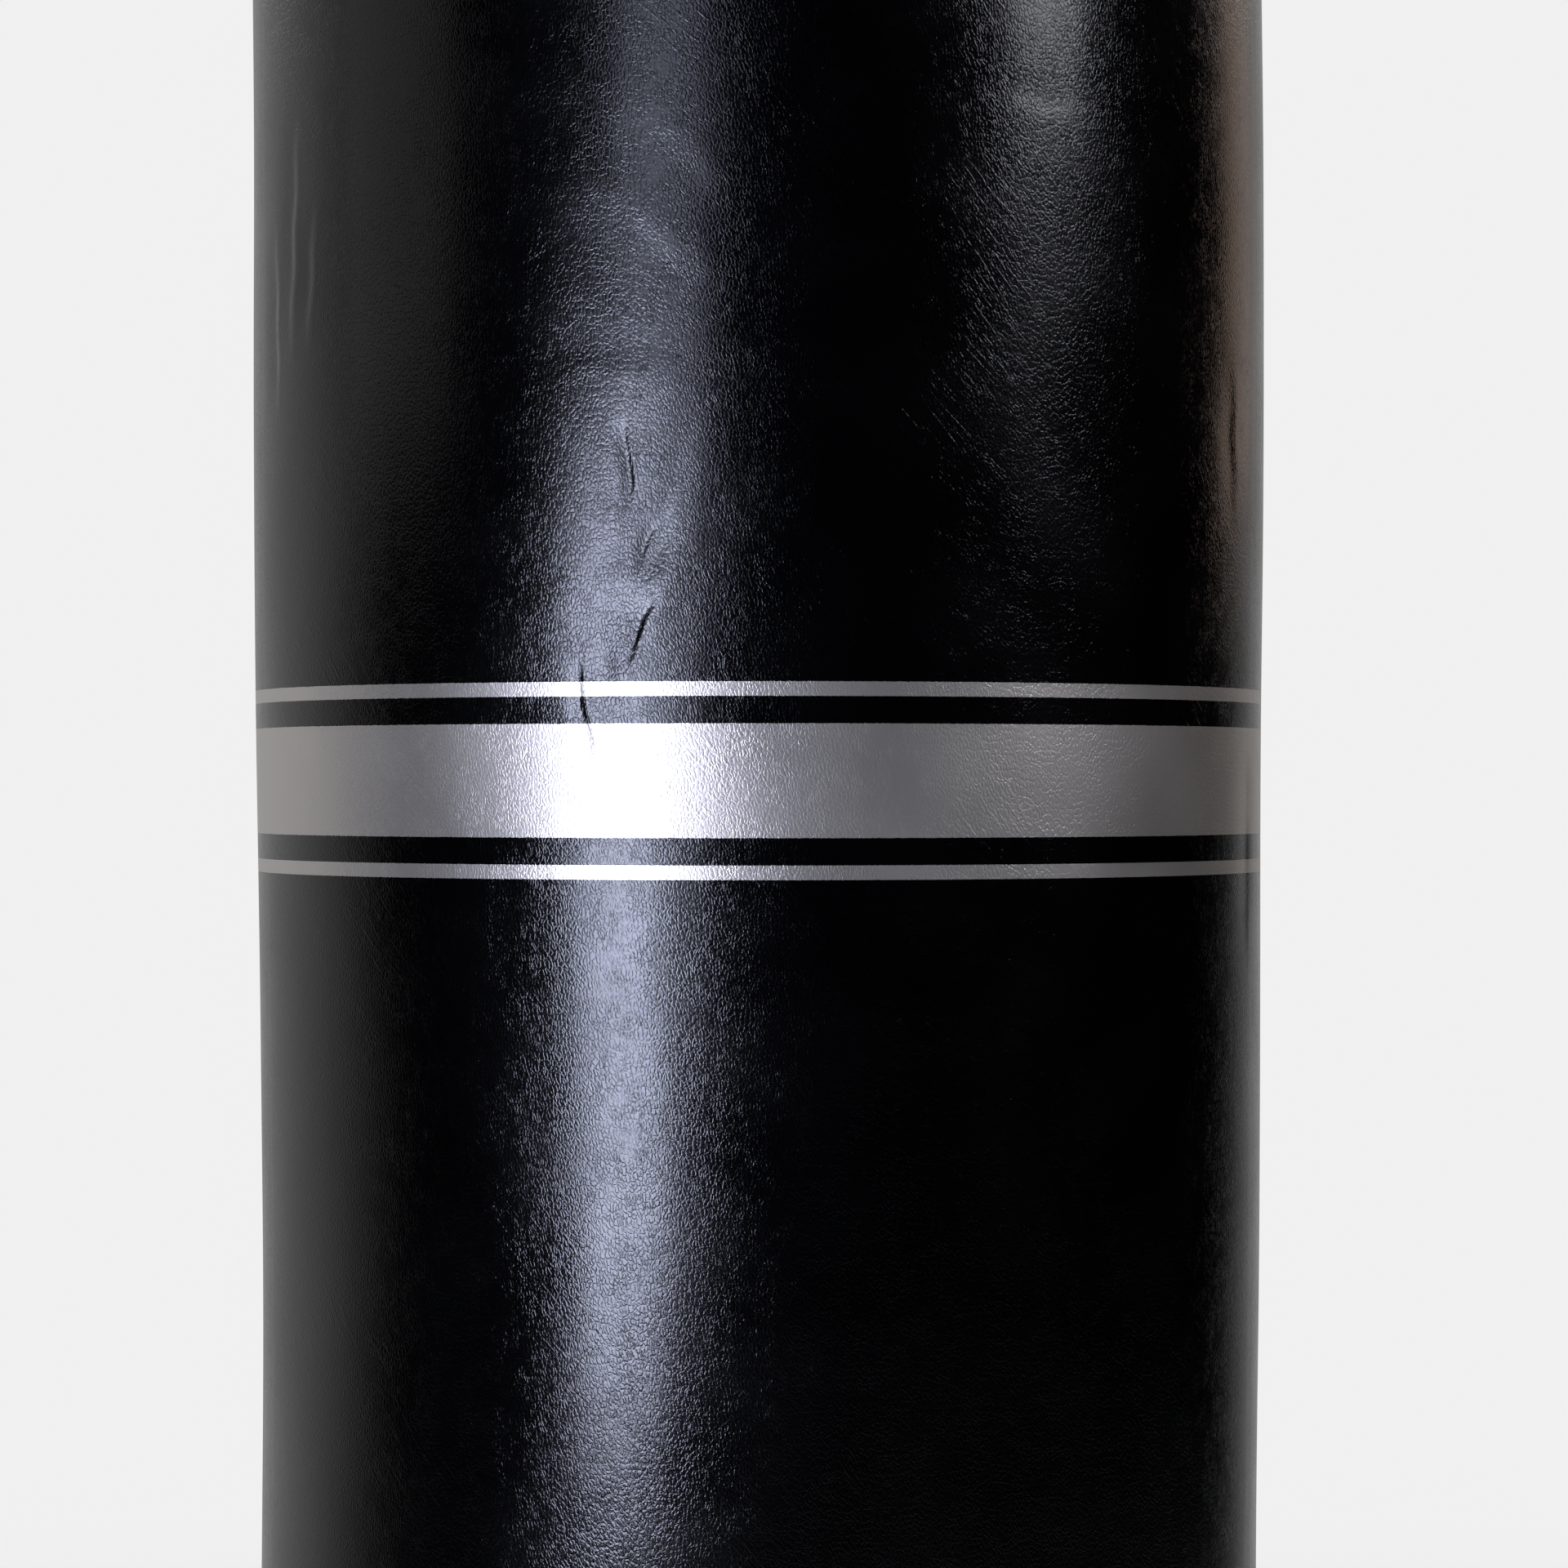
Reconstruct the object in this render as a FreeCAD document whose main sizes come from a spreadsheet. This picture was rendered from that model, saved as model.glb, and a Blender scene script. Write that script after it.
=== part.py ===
"""Free-standing punching bag on a ballast stand, as a parametric FreeCAD document.

Millimetres, +Z up, origin on the floor under the bag's axis. A padded bag stands on a spring neck,
which is bolted to a water or sand tank held down on a steel plate with suction cups.
Every sub-part is one object of the document, bound to the cells of the sheet "sizes".
"""

import FreeCAD
import Part
import math
import os
import Sketcher

# alias, value, what it is
SIZES = [
    ("fit_gap", 0.3, "clearance between pieces that move, or that are soft"),
    ("thread_gap", 0.05, "radial clearance drawn at a screw thread"),
    ("bolt_gap", 0.3, "radial clearance of a bolt in a drilled hole"),
    # suction cups
    ("cup_count", 10, "suction cups round the base plate"),
    ("cup_inset", 48, "edge of the base plate to the middle of a cup"),
    ("cup_radius", 42, "outer radius of a cup's lip"),
    ("cup_lip", 4, "width of the lip that meets the floor"),
    ("cup_edge", 2.5, "thickness of a cup's edge"),
    ("cup_height", 22, "floor to the underside of the base plate"),
    ("cup_hollow", 9, "height of the hollow under a cup"),
    ("cup_shoulder", 20, "radius where a cup's bell meets its stem"),
    ("cup_stem", 16, "radius of a cup's stem"),
    ("stud_radius", 4, "M8 stud moulded into a cup"),
    ("stud_root", 11, "floor to the foot of a stud"),
    ("stud_tail", 3, "stud that stands out of its nut"),
    ("nut_across", 13, "M8 nut, across flats"),
    ("nut_high", 6.5, "M8 nut height"),
    ("washer_radius", 8.5, "M8 washer"),
    ("washer_thick", 1.6, "M8 washer thickness"),
    # base plate and centre column
    ("plate_inset", 18, "rim of the tank to the edge of the base plate"),
    ("plate_thick", 4, "base plate thickness"),
    ("column_radius", 38, "centre column, outside"),
    ("column_wall", 4, "centre column wall"),
    ("foot_radius", 80, "flange at the column's foot"),
    ("foot_thick", 8, "foot flange thickness"),
    ("foot_screws", 4, "countersunk screws in the foot flange"),
    ("foot_ring", 60, "radius of the foot screws' circle"),
    ("foot_screw", 5, "M10 foot screw"),
    ("foot_sink", 9, "radius of a countersunk head"),
    ("plug_deep", 28, "tapped plug welded in the column's head"),
    # ballast tank
    ("tank_rise", 300, "base plate to the top of the tank"),
    ("tank_wall", 6, "tank wall"),
    ("tunnel_gap", 1.5, "gap between the column and the tank's tunnel"),
    ("recess_gap", 8, "gap round and above the foot flange"),
    ("channel_half", 15, "half the width of the channel over the cups' nuts"),
    ("channel_deep", 14, "depth of that channel"),
    ("plate_gap", 2, "gap round the base plate's edge"),
    ("rim_clear", 12, "floor to the tank's rim"),
    ("rim_inset", 12, "how far the rim lies inside the widest radius"),
    ("tank_radius", 300, "widest radius of the tank"),
    ("belly_high", 64, "height of the widest radius"),
    ("side_draft", 8, "how far the side leans in up to the shoulder, where the dome starts"),
    ("shoulder_round", 36, "outside rounding of the shoulder"),
    ("dome_fall", 86, "height of the dome, from the shoulder to the neck"),
    ("neck_drop", 44, "top land to the foot of the neck, where the dome ends"),
    ("neck_flare", 22, "how much wider the neck is at its foot"),
    ("dome_round", 30, "rounding between the dome and the neck"),
    ("neck_lip", 8, "how far the tank's top land stands out past the lower spring seat"),
    ("neck_round", 5, "rounding of the top land's edge"),
    ("land_thick", 26, "thickness of the top land, which holds the inserts"),
    ("rim_round", 7, "rounding of the rim"),
    ("dent_count", 8, "moulded dents round the dome"),
    ("dent_long", 150, "half length of a dent's ellipsoid"),
    ("dent_wide", 70, "half width and half height of a dent's ellipsoid"),
    ("dent_deep", 3.2, "depth of a dent"),
    ("sand_gap", 0.5, "gap between the sand and the tank's side walls"),
    ("sand_below", 71, "shoulder to the top of the sand"),
    # filler
    ("filler_shift", 1, "how far the filler lies outside the middle of the dome's slope"),
    ("pad_radius", 37, "pad under the filler neck"),
    ("pad_stand", 70, "shoulder to the top of that pad"),
    ("pad_deep", 60, "height of the pad's plug"),
    ("mouth_radius", 21, "bore of the filler neck"),
    ("mouth_wall", 5, "wall of the filler neck"),
    ("mouth_high", 20, "height of the filler neck above its pad"),
    ("thread_high", 1.5, "height of the filler neck's thread"),
    ("thread_pitch", 5, "pitch of that thread"),
    ("thread_turns", 2, "turns of that thread"),
    ("cap_wall", 4.5, "wall of the filler cap"),
    ("cap_top", 4, "thickness of the filler cap's top"),
    ("cap_grips", 18, "scallops round the filler cap"),
    ("cap_grip", 4, "radius of a scallop"),
    ("cap_bar_wide", 9, "width of the bar on the filler cap"),
    ("cap_bar_high", 9, "height of that bar"),
    ("gasket_thick", 2, "filler gasket"),
    # spring seats
    ("seat_radius", 120, "flange of a spring seat"),
    ("seat_thick", 6, "thickness of that flange"),
    ("seat_cup_wall", 7, "wall round the end of the spring"),
    ("seat_cup_high", 27, "height of that wall"),
    ("seat_bolts", 6, "bolts in a spring seat"),
    ("seat_ring", 95, "radius of those bolts' circle"),
    ("bolt_radius", 5, "M10 bolt"),
    ("bolt_across", 17, "M10 head and nut, across flats"),
    ("bolt_head", 6.4, "M10 head height"),
    ("bolt_nut", 8.4, "M10 nut height"),
    ("bolt_washer", 10.5, "M10 washer radius"),
    ("bolt_washer_thick", 2, "M10 washer thickness"),
    ("bolt_reach", 14, "thread of a bolt beyond the flange"),
    ("insert_radius", 8, "brass insert in the tank's top"),
    ("insert_long", 20, "length of an insert"),
    ("set_screws", 3, "set screws that grip the end of the spring"),
    ("set_screw", 4, "M8 set screw"),
    ("socket_radius", 40, "boss that holds the buffer's end"),
    ("socket_lip", 11, "pivot to the lip of that boss"),
    ("cap_screw", 8, "M16 screw that holds the lower seat down"),
    ("cap_screw_head", 12, "radius of its head"),
    ("cap_screw_high", 16, "height of its head"),
    ("cap_screw_long", 34, "length under its head"),
    ("cap_screw_floor", 8, "steel left under its head"),
    # spring and buffer
    ("wire_radius", 9, "spring wire"),
    ("coil_radius", 58, "mean radius of the spring"),
    ("coil_high", 160, "free height of the spring"),
    ("coil_active", 3.5, "turns that work"),
    ("coil_closed", 1, "closed turns at each end"),
    ("closed_pitch", 18.6, "rise of a closed turn"),
    ("buffer_radius", 30, "rubber buffer and its round ends"),
    ("pivot_inset", 50, "seat floor to the centre of the buffer's round end"),
    # bag frame
    ("bag_plate_thick", 5, "thickness of that plate"),
    ("tube_radius", 30, "core tube"),
    ("tube_wall", 3, "core tube wall"),
    ("socket_wall", 6, "wall of the socket that holds the tube"),
    ("socket_high", 90, "height of that socket"),
    ("gusset_count", 4, "gussets round the socket"),
    ("gusset_reach", 32, "how far a gusset runs out along the plate"),
    ("gusset_high", 60, "height of a gusset"),
    ("gusset_thick", 5, "thickness of a gusset"),
    ("cross_high", 75, "plate to the bolt across the socket"),
    # bag padding and cover
    ("bag_radius", 170, "outside of the cover"),
    ("bag_high", 1238, "plate underside to the top of the side panel"),
    ("cover_thick", 2, "coated fabric cover"),
    ("cover_slack", 2.5, "room between the cover and the padding"),
    ("hem_gap", 4, "edge of the upper spring seat to the inner edge of the cover"),
    ("hem_turn", 16, "how far the cover is turned in under the edge of the bag plate"),
    ("plate_clear", 4, "edge of the bag plate to where the cover's rounding starts"),
    ("foam_core_radius", 125, "firm inner foam"),
    ("foam_core_recess", 108, "recess in the inner foam over the socket"),
    ("recess_high", 100, "height of that recess"),
    ("board_inset", 1, "edge of the inner foam to the edge of the plywood board on it"),
    ("board_thick", 10, "thickness of that board"),
    ("pad_thick", 26, "edge thickness of the top pad"),
    ("dome_rise", 7, "rise of the top pad and panel at the middle"),
    ("plug_flange", 5, "thickness of the core tube's plug"),
    ("plug_over", 3, "how far the plug's flange covers the tube"),
    ("piping_radius", 3.5, "piping round the top"),
    # zip
    ("zip_bottom", 62, "plate underside to the lower end of the zip"),
    ("zip_top", 96, "top of the side panel to the upper end of the zip"),
    ("slot_half", 7.5, "half the width of the opening that shows the zip"),
    ("tape_half", 16, "half the width of the zip's tape"),
    ("tape_thick", 0.8, "tape thickness"),
    ("chain_half", 3, "half the width of the closed teeth"),
    ("chain_thick", 2.2, "thickness of the teeth"),
    ("stop_long", 4, "length of a stop"),
    ("slider_half", 5.5, "half the width of the slider"),
    ("slider_long", 14, "length of the slider"),
    ("slider_plate", 1.6, "thickness of the slider's plate"),
    ("bridge_long", 9, "length of the slider's bridge"),
    ("bridge_half", 1.1, "half the width of the bridge"),
    ("bridge_high", 4.6, "height of the bridge"),
    ("eye_radius", 1.4, "hole through the bridge"),
    ("pull_bar", 1, "radius of the pull's bar in that hole"),
    ("pull_half", 3.6, "half the width of the pull"),
    ("pull_window", 7, "length of the window in the pull"),
    ("pull_long", 30, "length of the pull"),
    ("pull_gap", 0.5, "gap between the pull and the bridge's sides"),
]

# alias, formula, what it is
FOLLOWING = [
    ("rim_radius", "tank_radius - rim_inset", "outside of the tank at its rim"),
    ("shoulder_radius", "tank_radius - side_draft", "radius where the side meets the dome"),
    ("neck_radius", "seat_radius + neck_lip", "radius of the tank's top land"),
    ("dome_radius", "neck_radius + neck_flare", "radius where the dome meets the neck"),
    ("dome_high", "cup_height + plate_thick + tank_rise - neck_drop", "floor to the top of the dome"),
    ("shoulder_high", "dome_high - dome_fall", "floor to the shoulder"),
    ("sand_high", "shoulder_high - sand_below", "floor to the top of the sand"),
    ("plate_radius", "rim_radius - plate_inset", "steel base plate"),
    ("cup_ring", "plate_radius - cup_inset", "radius of the circle that the cups stand on"),
    (
        "filler_ring",
        "(shoulder_radius + dome_radius) / 2 + filler_shift",
        "distance of the filler from the bag's axis",
    ),
    ("pad_high", "shoulder_high + pad_stand", "floor to the top of the filler's pad"),
    ("hem_radius", "seat_radius + hem_gap", "inner edge of the cover under the plate"),
    ("bag_plate_radius", "hem_radius + hem_turn", "steel plate under the bag"),
    ("cover_round", "bag_radius - bag_plate_radius - plate_clear", "rounding of the cover's lower edge"),
    ("board_radius", "foam_core_radius - board_inset", "plywood board on the inner foam"),
    ("zip_long", "bag_high - zip_bottom - zip_top", "length of the zip"),
]

doc = FreeCAD.newDocument("punching_bag_on_stand")
sheet = doc.addObject("Spreadsheet::Sheet", "sizes")
for row, (alias, value, note) in enumerate(SIZES, start=1):
    sheet.set("A%d" % row, alias)
    sheet.set("B%d" % row, str(value))
    sheet.set("C%d" % row, note)
    sheet.setAlias("B%d" % row, alias)
for row, (alias, formula, note) in enumerate(FOLLOWING, start=len(SIZES) + 1):
    sheet.set("A%d" % row, alias)
    sheet.set("B%d" % row, "=" + formula)
    sheet.set("C%d" % row, note)
    sheet.setAlias("B%d" % row, alias)
doc.recompute()

parts = []

# ---- heights, as expressions of the sheet's cells, from the floor up ----

Z_PLATE = "sizes.cup_height"
Z_TANK = "(sizes.cup_height + sizes.plate_thick)"
Z_LAND = "(%s + sizes.tank_rise)" % Z_TANK
Z_FLOOR = "(%s + sizes.seat_thick)" % Z_LAND
Z_CEILING = "(%s + sizes.coil_high + 2 * sizes.fit_gap)" % Z_FLOOR
Z_BAG = "(%s + sizes.seat_thick)" % Z_CEILING
Z_PADDING = "(%s + sizes.bag_plate_thick)" % Z_BAG
Z_TOP = "(%s + sizes.bag_high)" % Z_BAG
Z_PAD = "(%s - sizes.pad_thick)" % Z_TOP
Z_PIVOT_LOW = "(%s + sizes.pivot_inset)" % Z_FLOOR
Z_PIVOT_HIGH = "(%s - sizes.pivot_inset)" % Z_CEILING
Z_ZIP = "(%s + sizes.zip_bottom)" % Z_BAG

R_TUNNEL = "(sizes.column_radius + sizes.tunnel_gap)"
R_COVER = "(sizes.bag_radius - sizes.cover_thick)"
R_FOAM = "(%s - sizes.cover_slack)" % R_COVER
R_SEAT_CUP = "(sizes.coil_radius + sizes.wire_radius + sizes.fit_gap)"


def number(expression):
    """The value of an expression of the sheet's cells."""
    return float(sheet.evalExpression(expression))


# ---- sketches and features ----


def new_body(label):
    body = doc.addObject("PartDesign::Body", label)
    body.Label = label
    body.AllowCompound = True
    parts.append(body)
    return body


def origin_feature(body, role):
    return [f for f in body.Origin.OriginFeatures if f.Role == role][0]


def new_sketch(body, name, plane, lift=None):
    """A sketch on one of the body's origin planes, lifted along the plane's normal."""
    sketch = body.newObject("Sketcher::SketchObject", name)
    sketch.AttachmentSupport = [(origin_feature(body, plane), "")]
    sketch.MapMode = "FlatFace"
    if lift is not None:
        sketch.setExpression("AttachmentOffset.Base.z", lift)
    return sketch


def pin_point(sketch, geometry, end, x, y):
    """Holds a point of the sketch at x and y, each an expression."""
    for kind, axis, expression in (("DistanceX", -2, x), ("DistanceY", -1, y)):
        if expression == "0":
            sketch.addConstraint(Sketcher.Constraint("PointOnObject", geometry, end, axis))
            continue
        held = Sketcher.Constraint(kind, -1, 1, geometry, end, number(expression))
        index = sketch.addConstraint(held)
        sketch.setExpression("Constraints[%d]" % index, expression)


def draw_loop(sketch, corners, domes=()):
    """A closed loop through corners; the edges that start at the corners in domes are arcs about the Z axis."""
    at = [FreeCAD.Vector(number(x), number(y), 0) for x, y in corners]
    first = sketch.GeometryCount
    ends = []
    for i, start in enumerate(at):
        stop = at[(i + 1) % len(at)]
        if i not in domes:
            sketch.addGeometry(Part.LineSegment(start, stop))
            ends.append((1, 2))
            continue
        low, high = (start, stop) if start.x > stop.x else (stop, start)
        rise = high.y - low.y
        radius = (low.x**2 + rise**2) / (2 * rise)
        circle = Part.Circle(FreeCAD.Vector(0, high.y - radius, 0), FreeCAD.Vector(0, 0, 1), radius)
        sketch.addGeometry(Part.ArcOfCircle(circle, math.asin((low.y - high.y + radius) / radius), math.pi / 2))
        sketch.addConstraint(Sketcher.Constraint("PointOnObject", first + i, 3, -2))
        ends.append((1, 2) if start.x > stop.x else (2, 1))
    for i in range(len(at)):
        after = (i + 1) % len(at)
        sketch.addConstraint(
            Sketcher.Constraint("Coincident", first + i, ends[i][1], first + after, ends[after][0])
        )
    for i, (x, y) in enumerate(corners):
        pin_point(sketch, first + i, ends[i][0], x, y)


def draw_circle(sketch, x, y, radius):
    middle = FreeCAD.Vector(number(x), number(y), 0)
    index = sketch.addGeometry(Part.Circle(middle, FreeCAD.Vector(0, 0, 1), number(radius)))
    pin_point(sketch, index, 3, x, y)
    size = sketch.addConstraint(Sketcher.Constraint("Radius", index, number(radius)))
    sketch.setExpression("Constraints[%d]" % size, radius)


def draw_hexagon(sketch, x, y, across):
    """A regular hexagon, two sides parallel to the sketch's horizontal axis."""
    reach = "(%s) / sqrt(3)" % across
    half = "(%s) / 2" % across
    corners = []
    for along, up in ((1, 0), (0.5, 1), (-0.5, 1), (-1, 0), (-0.5, -1), (0.5, -1)):
        high = y if up == 0 else "%s + %s * (%s)" % (y, up, half)
        corners.append(("%s + %s * (%s)" % (x, along, reach), high))
    draw_loop(sketch, corners)


def turned(body, name, corners, domes=()):
    """A solid of revolution about the body's Z axis."""
    sketch = new_sketch(body, name + "_outline", "XZ_Plane")
    draw_loop(sketch, corners, domes)
    feature = body.newObject("PartDesign::Revolution", name)
    feature.Profile = sketch
    feature.ReferenceAxis = (sketch, ["V_Axis"])
    feature.Angle = 360
    return feature


def turned_away(body, name, corners):
    """A groove about the body's Z axis."""
    sketch = new_sketch(body, name + "_outline", "XZ_Plane")
    draw_loop(sketch, corners)
    feature = body.newObject("PartDesign::Groove", name)
    feature.Profile = sketch
    feature.ReferenceAxis = (sketch, ["V_Axis"])
    feature.Angle = 360
    return feature


def padded(body, sketch, name, length, middle=False):
    feature = body.newObject("PartDesign::Pad", name)
    feature.Profile = sketch
    feature.setExpression("Length", length)
    feature.Midplane = middle
    return feature


def pocketed(body, sketch, name, depth=None, reverse=False, middle=False):
    """A pocket, right through if it has no depth."""
    feature = body.newObject("PartDesign::Pocket", name)
    feature.Profile = sketch
    feature.Reversed = reverse
    feature.Midplane = middle
    if depth is None:
        feature.Type = 1
    else:
        feature.setExpression("Length", depth)
    return feature


def rod(body, name, x, radius, low, length):
    """A round bar parallel to Z, at x on the body's X axis."""
    sketch = new_sketch(body, name + "_outline", "XY_Plane", low)
    draw_circle(sketch, x, "0", radius)
    return padded(body, sketch, name, length)


def hex_bar(body, name, x, across, low, length):
    """A hexagonal bar parallel to Z, at x on the body's X axis."""
    sketch = new_sketch(body, name + "_outline", "XY_Plane", low)
    draw_hexagon(sketch, x, "0", across)
    return padded(body, sketch, name, length)


def drilled(body, name, x, radius):
    """A hole right through the body, parallel to Z, at x on the body's X axis."""
    sketch = new_sketch(body, name + "_outline", "XY_Plane")
    draw_circle(sketch, x, "0", radius)
    return pocketed(body, sketch, name, middle=True)


def bored(body, name, x, radius, low, depth):
    """A hole that starts at low and runs up for depth."""
    sketch = new_sketch(body, name + "_outline", "XY_Plane", low)
    draw_circle(sketch, x, "0", radius)
    return pocketed(body, sketch, name, depth, reverse=True)


def ringed(body, name, features, count):
    """Copies of the features all round the body's Z axis."""
    pattern = body.newObject("PartDesign::PolarPattern", name)
    pattern.Originals = features
    pattern.Axis = (origin_feature(body, "Z_Axis"), [""])
    pattern.Angle = 360
    pattern.setExpression("Occurrences", count)
    body.Tip = pattern
    return pattern


def rounded(body, name, circles, radius):
    """Rounds the circular edges about the Z axis that lie at the given radius and height."""
    doc.recompute()
    base = body.Tip
    wanted = [(number(r), number(z)) for r, z in circles]
    names = []
    for i, edge in enumerate(base.Shape.Edges, start=1):
        curve = edge.Curve
        if not isinstance(curve, Part.Circle) or abs(curve.Axis.z) < 0.999:
            continue
        if math.hypot(curve.Center.x, curve.Center.y) > 1e-4:
            continue
        if any(abs(curve.Radius - r) < 1e-3 and abs(curve.Center.z - z) < 1e-3 for r, z in wanted):
            names.append("Edge%d" % i)
    if len(names) < len(wanted):
        raise ValueError("%s finds %d of %d edges" % (name, len(names), len(wanted)))
    feature = body.newObject("PartDesign::Fillet", name)
    feature.Base = (base, names)
    feature.setExpression("Radius", radius)
    return feature


def between(low, high, share):
    """An expression part of the way from low to high."""
    return "(%s + (%s - %s) * (%s))" % (low, high, low, share)


# ---- suction cups and their fasteners ----


def make_suction_cups():
    body = new_body("suction_cups")
    x = "sizes.cup_ring"
    sketch = new_sketch(body, "bell_outline", "XZ_Plane")
    corners = [
        (x, "sizes.cup_hollow"),
        (x + " + sizes.cup_stem", "sizes.cup_hollow"),
        (x + " + sizes.cup_radius - sizes.cup_lip", "0"),
        (x + " + sizes.cup_radius", "0"),
        (x + " + sizes.cup_radius", "sizes.cup_edge"),
        (x + " + sizes.cup_shoulder", "sizes.cup_hollow + sizes.cup_edge + sizes.cup_lip / 2"),
        (x + " + sizes.cup_stem", Z_PLATE),
        (x + " + sizes.stud_radius + sizes.thread_gap", Z_PLATE),
        (x + " + sizes.stud_radius + sizes.thread_gap", "sizes.stud_root"),
        (x, "sizes.stud_root"),
    ]
    draw_loop(sketch, corners)
    top = FreeCAD.Vector(number(x), number(Z_PLATE), 0)
    axis = sketch.addGeometry(Part.LineSegment(FreeCAD.Vector(number(x), 0, 0), top), True)
    pin_point(sketch, axis, 1, x, "0")
    pin_point(sketch, axis, 2, x, Z_PLATE)
    bell = body.newObject("PartDesign::Revolution", "bell")
    bell.Profile = sketch
    bell.ReferenceAxis = (sketch, ["Axis0"])
    bell.Angle = 360
    ringed(body, "cups", [bell], "sizes.cup_count")


def make_cup_fasteners():
    x = "sizes.cup_ring"
    nut_seat = "%s + sizes.washer_thick" % Z_TANK
    stud_long = "%s + sizes.nut_high + sizes.stud_tail - sizes.stud_root" % nut_seat

    studs = new_body("cup_studs")
    stud = rod(studs, "stud", x, "sizes.stud_radius", "sizes.stud_root", stud_long)
    ringed(studs, "studs", [stud], "sizes.cup_count")

    washers = new_body("cup_washers")
    disc = rod(washers, "disc", x, "sizes.washer_radius", Z_TANK, "sizes.washer_thick")
    hole = drilled(washers, "hole", x, "sizes.stud_radius + sizes.bolt_gap")
    ringed(washers, "washers", [disc, hole], "sizes.cup_count")

    nuts = new_body("cup_nuts")
    nut = hex_bar(nuts, "nut", x, "sizes.nut_across", nut_seat, "sizes.nut_high")
    thread = drilled(nuts, "thread", x, "sizes.stud_radius + sizes.thread_gap")
    ringed(nuts, "nuts", [nut, thread], "sizes.cup_count")


# ---- base plate and column ----


def make_base_plate():
    body = new_body("base_plate")
    rod(body, "disc", "0", "sizes.plate_radius", Z_PLATE, "sizes.plate_thick")
    hole = drilled(body, "stud_hole", "sizes.cup_ring", "sizes.stud_radius + sizes.bolt_gap")
    ringed(body, "stud_holes", [hole], "sizes.cup_count")
    sketch = new_sketch(body, "sink_outline", "XZ_Plane")
    x = "sizes.foot_ring"
    gap = "sizes.bolt_gap"
    draw_loop(
        sketch,
        [
            (x, Z_PLATE),
            (x + " + sizes.foot_sink + " + gap, Z_PLATE),
            (x + " + sizes.foot_screw + " + gap, Z_TANK),
            (x, Z_TANK),
        ],
    )
    low = FreeCAD.Vector(number(x), number(Z_PLATE), 0)
    high = FreeCAD.Vector(number(x), number(Z_TANK), 0)
    axis = sketch.addGeometry(Part.LineSegment(low, high), True)
    pin_point(sketch, axis, 1, x, Z_PLATE)
    pin_point(sketch, axis, 2, x, Z_TANK)
    sink = body.newObject("PartDesign::Groove", "sink")
    sink.Profile = sketch
    sink.ReferenceAxis = (sketch, ["Axis0"])
    sink.Angle = 360
    ringed(body, "sinks", [sink], "sizes.foot_screws")


def make_centre_column():
    body = new_body("centre_column")
    bore = "sizes.column_radius - sizes.column_wall"
    plug = "%s - sizes.plug_deep" % Z_LAND
    turned(
        body,
        "tube",
        [
            ("sizes.cap_screw + sizes.thread_gap", plug),
            (bore, plug),
            (bore, Z_TANK),
            ("sizes.foot_radius", Z_TANK),
            ("sizes.foot_radius", "%s + sizes.foot_thick" % Z_TANK),
            ("sizes.column_radius", "%s + sizes.foot_thick" % Z_TANK),
            ("sizes.column_radius", Z_LAND),
            ("sizes.cap_screw + sizes.thread_gap", Z_LAND),
        ],
    )
    hole = bored(
        body, "screw_hole", "sizes.foot_ring", "sizes.foot_screw + sizes.thread_gap", Z_TANK, "sizes.foot_thick"
    )
    ringed(body, "screw_holes", [hole], "sizes.foot_screws")


def make_column_screws():
    body = new_body("column_screws")
    x = "sizes.foot_ring"
    sketch = new_sketch(body, "screw_outline", "XZ_Plane")
    draw_loop(
        sketch,
        [
            (x, Z_PLATE),
            (x + " + sizes.foot_sink", Z_PLATE),
            (x + " + sizes.foot_screw", Z_TANK),
            (x + " + sizes.foot_screw", "%s + sizes.foot_thick" % Z_TANK),
            (x, "%s + sizes.foot_thick" % Z_TANK),
        ],
    )
    low = FreeCAD.Vector(number(x), number(Z_PLATE), 0)
    high = FreeCAD.Vector(number(x), number(Z_TANK), 0)
    axis = sketch.addGeometry(Part.LineSegment(low, high), True)
    pin_point(sketch, axis, 1, x, Z_PLATE)
    pin_point(sketch, axis, 2, x, Z_TANK)
    screw = body.newObject("PartDesign::Revolution", "screw")
    screw.Profile = sketch
    screw.ReferenceAxis = (sketch, ["Axis0"])
    screw.Angle = 360
    ringed(body, "screws", [screw], "sizes.foot_screws")


# ---- ballast tank, its filling and its filler cap ----

FOOT_RECESS = "(sizes.foot_radius + sizes.recess_gap)"
Z_RECESS = "(%s + sizes.foot_thick + sizes.recess_gap)" % Z_TANK
CHANNEL_IN = "(sizes.cup_ring - sizes.channel_half)"
CHANNEL_OUT = "(sizes.cup_ring + sizes.channel_half)"
Z_CHANNEL = "(%s + sizes.channel_deep)" % Z_TANK


def side_radius(height):
    """Radius of the tank's lower side at a height below its widest radius."""
    share = "(%s - sizes.rim_clear) / (sizes.belly_high - sizes.rim_clear)" % height
    return between("sizes.rim_radius", "sizes.tank_radius", share)


def upper_side_radius(height):
    """Radius of the tank's side at a height between its widest radius and its shoulder."""
    share = "(%s - sizes.belly_high) / (sizes.shoulder_high - sizes.belly_high)" % height
    return between("sizes.tank_radius", "sizes.shoulder_radius", share)


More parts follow.
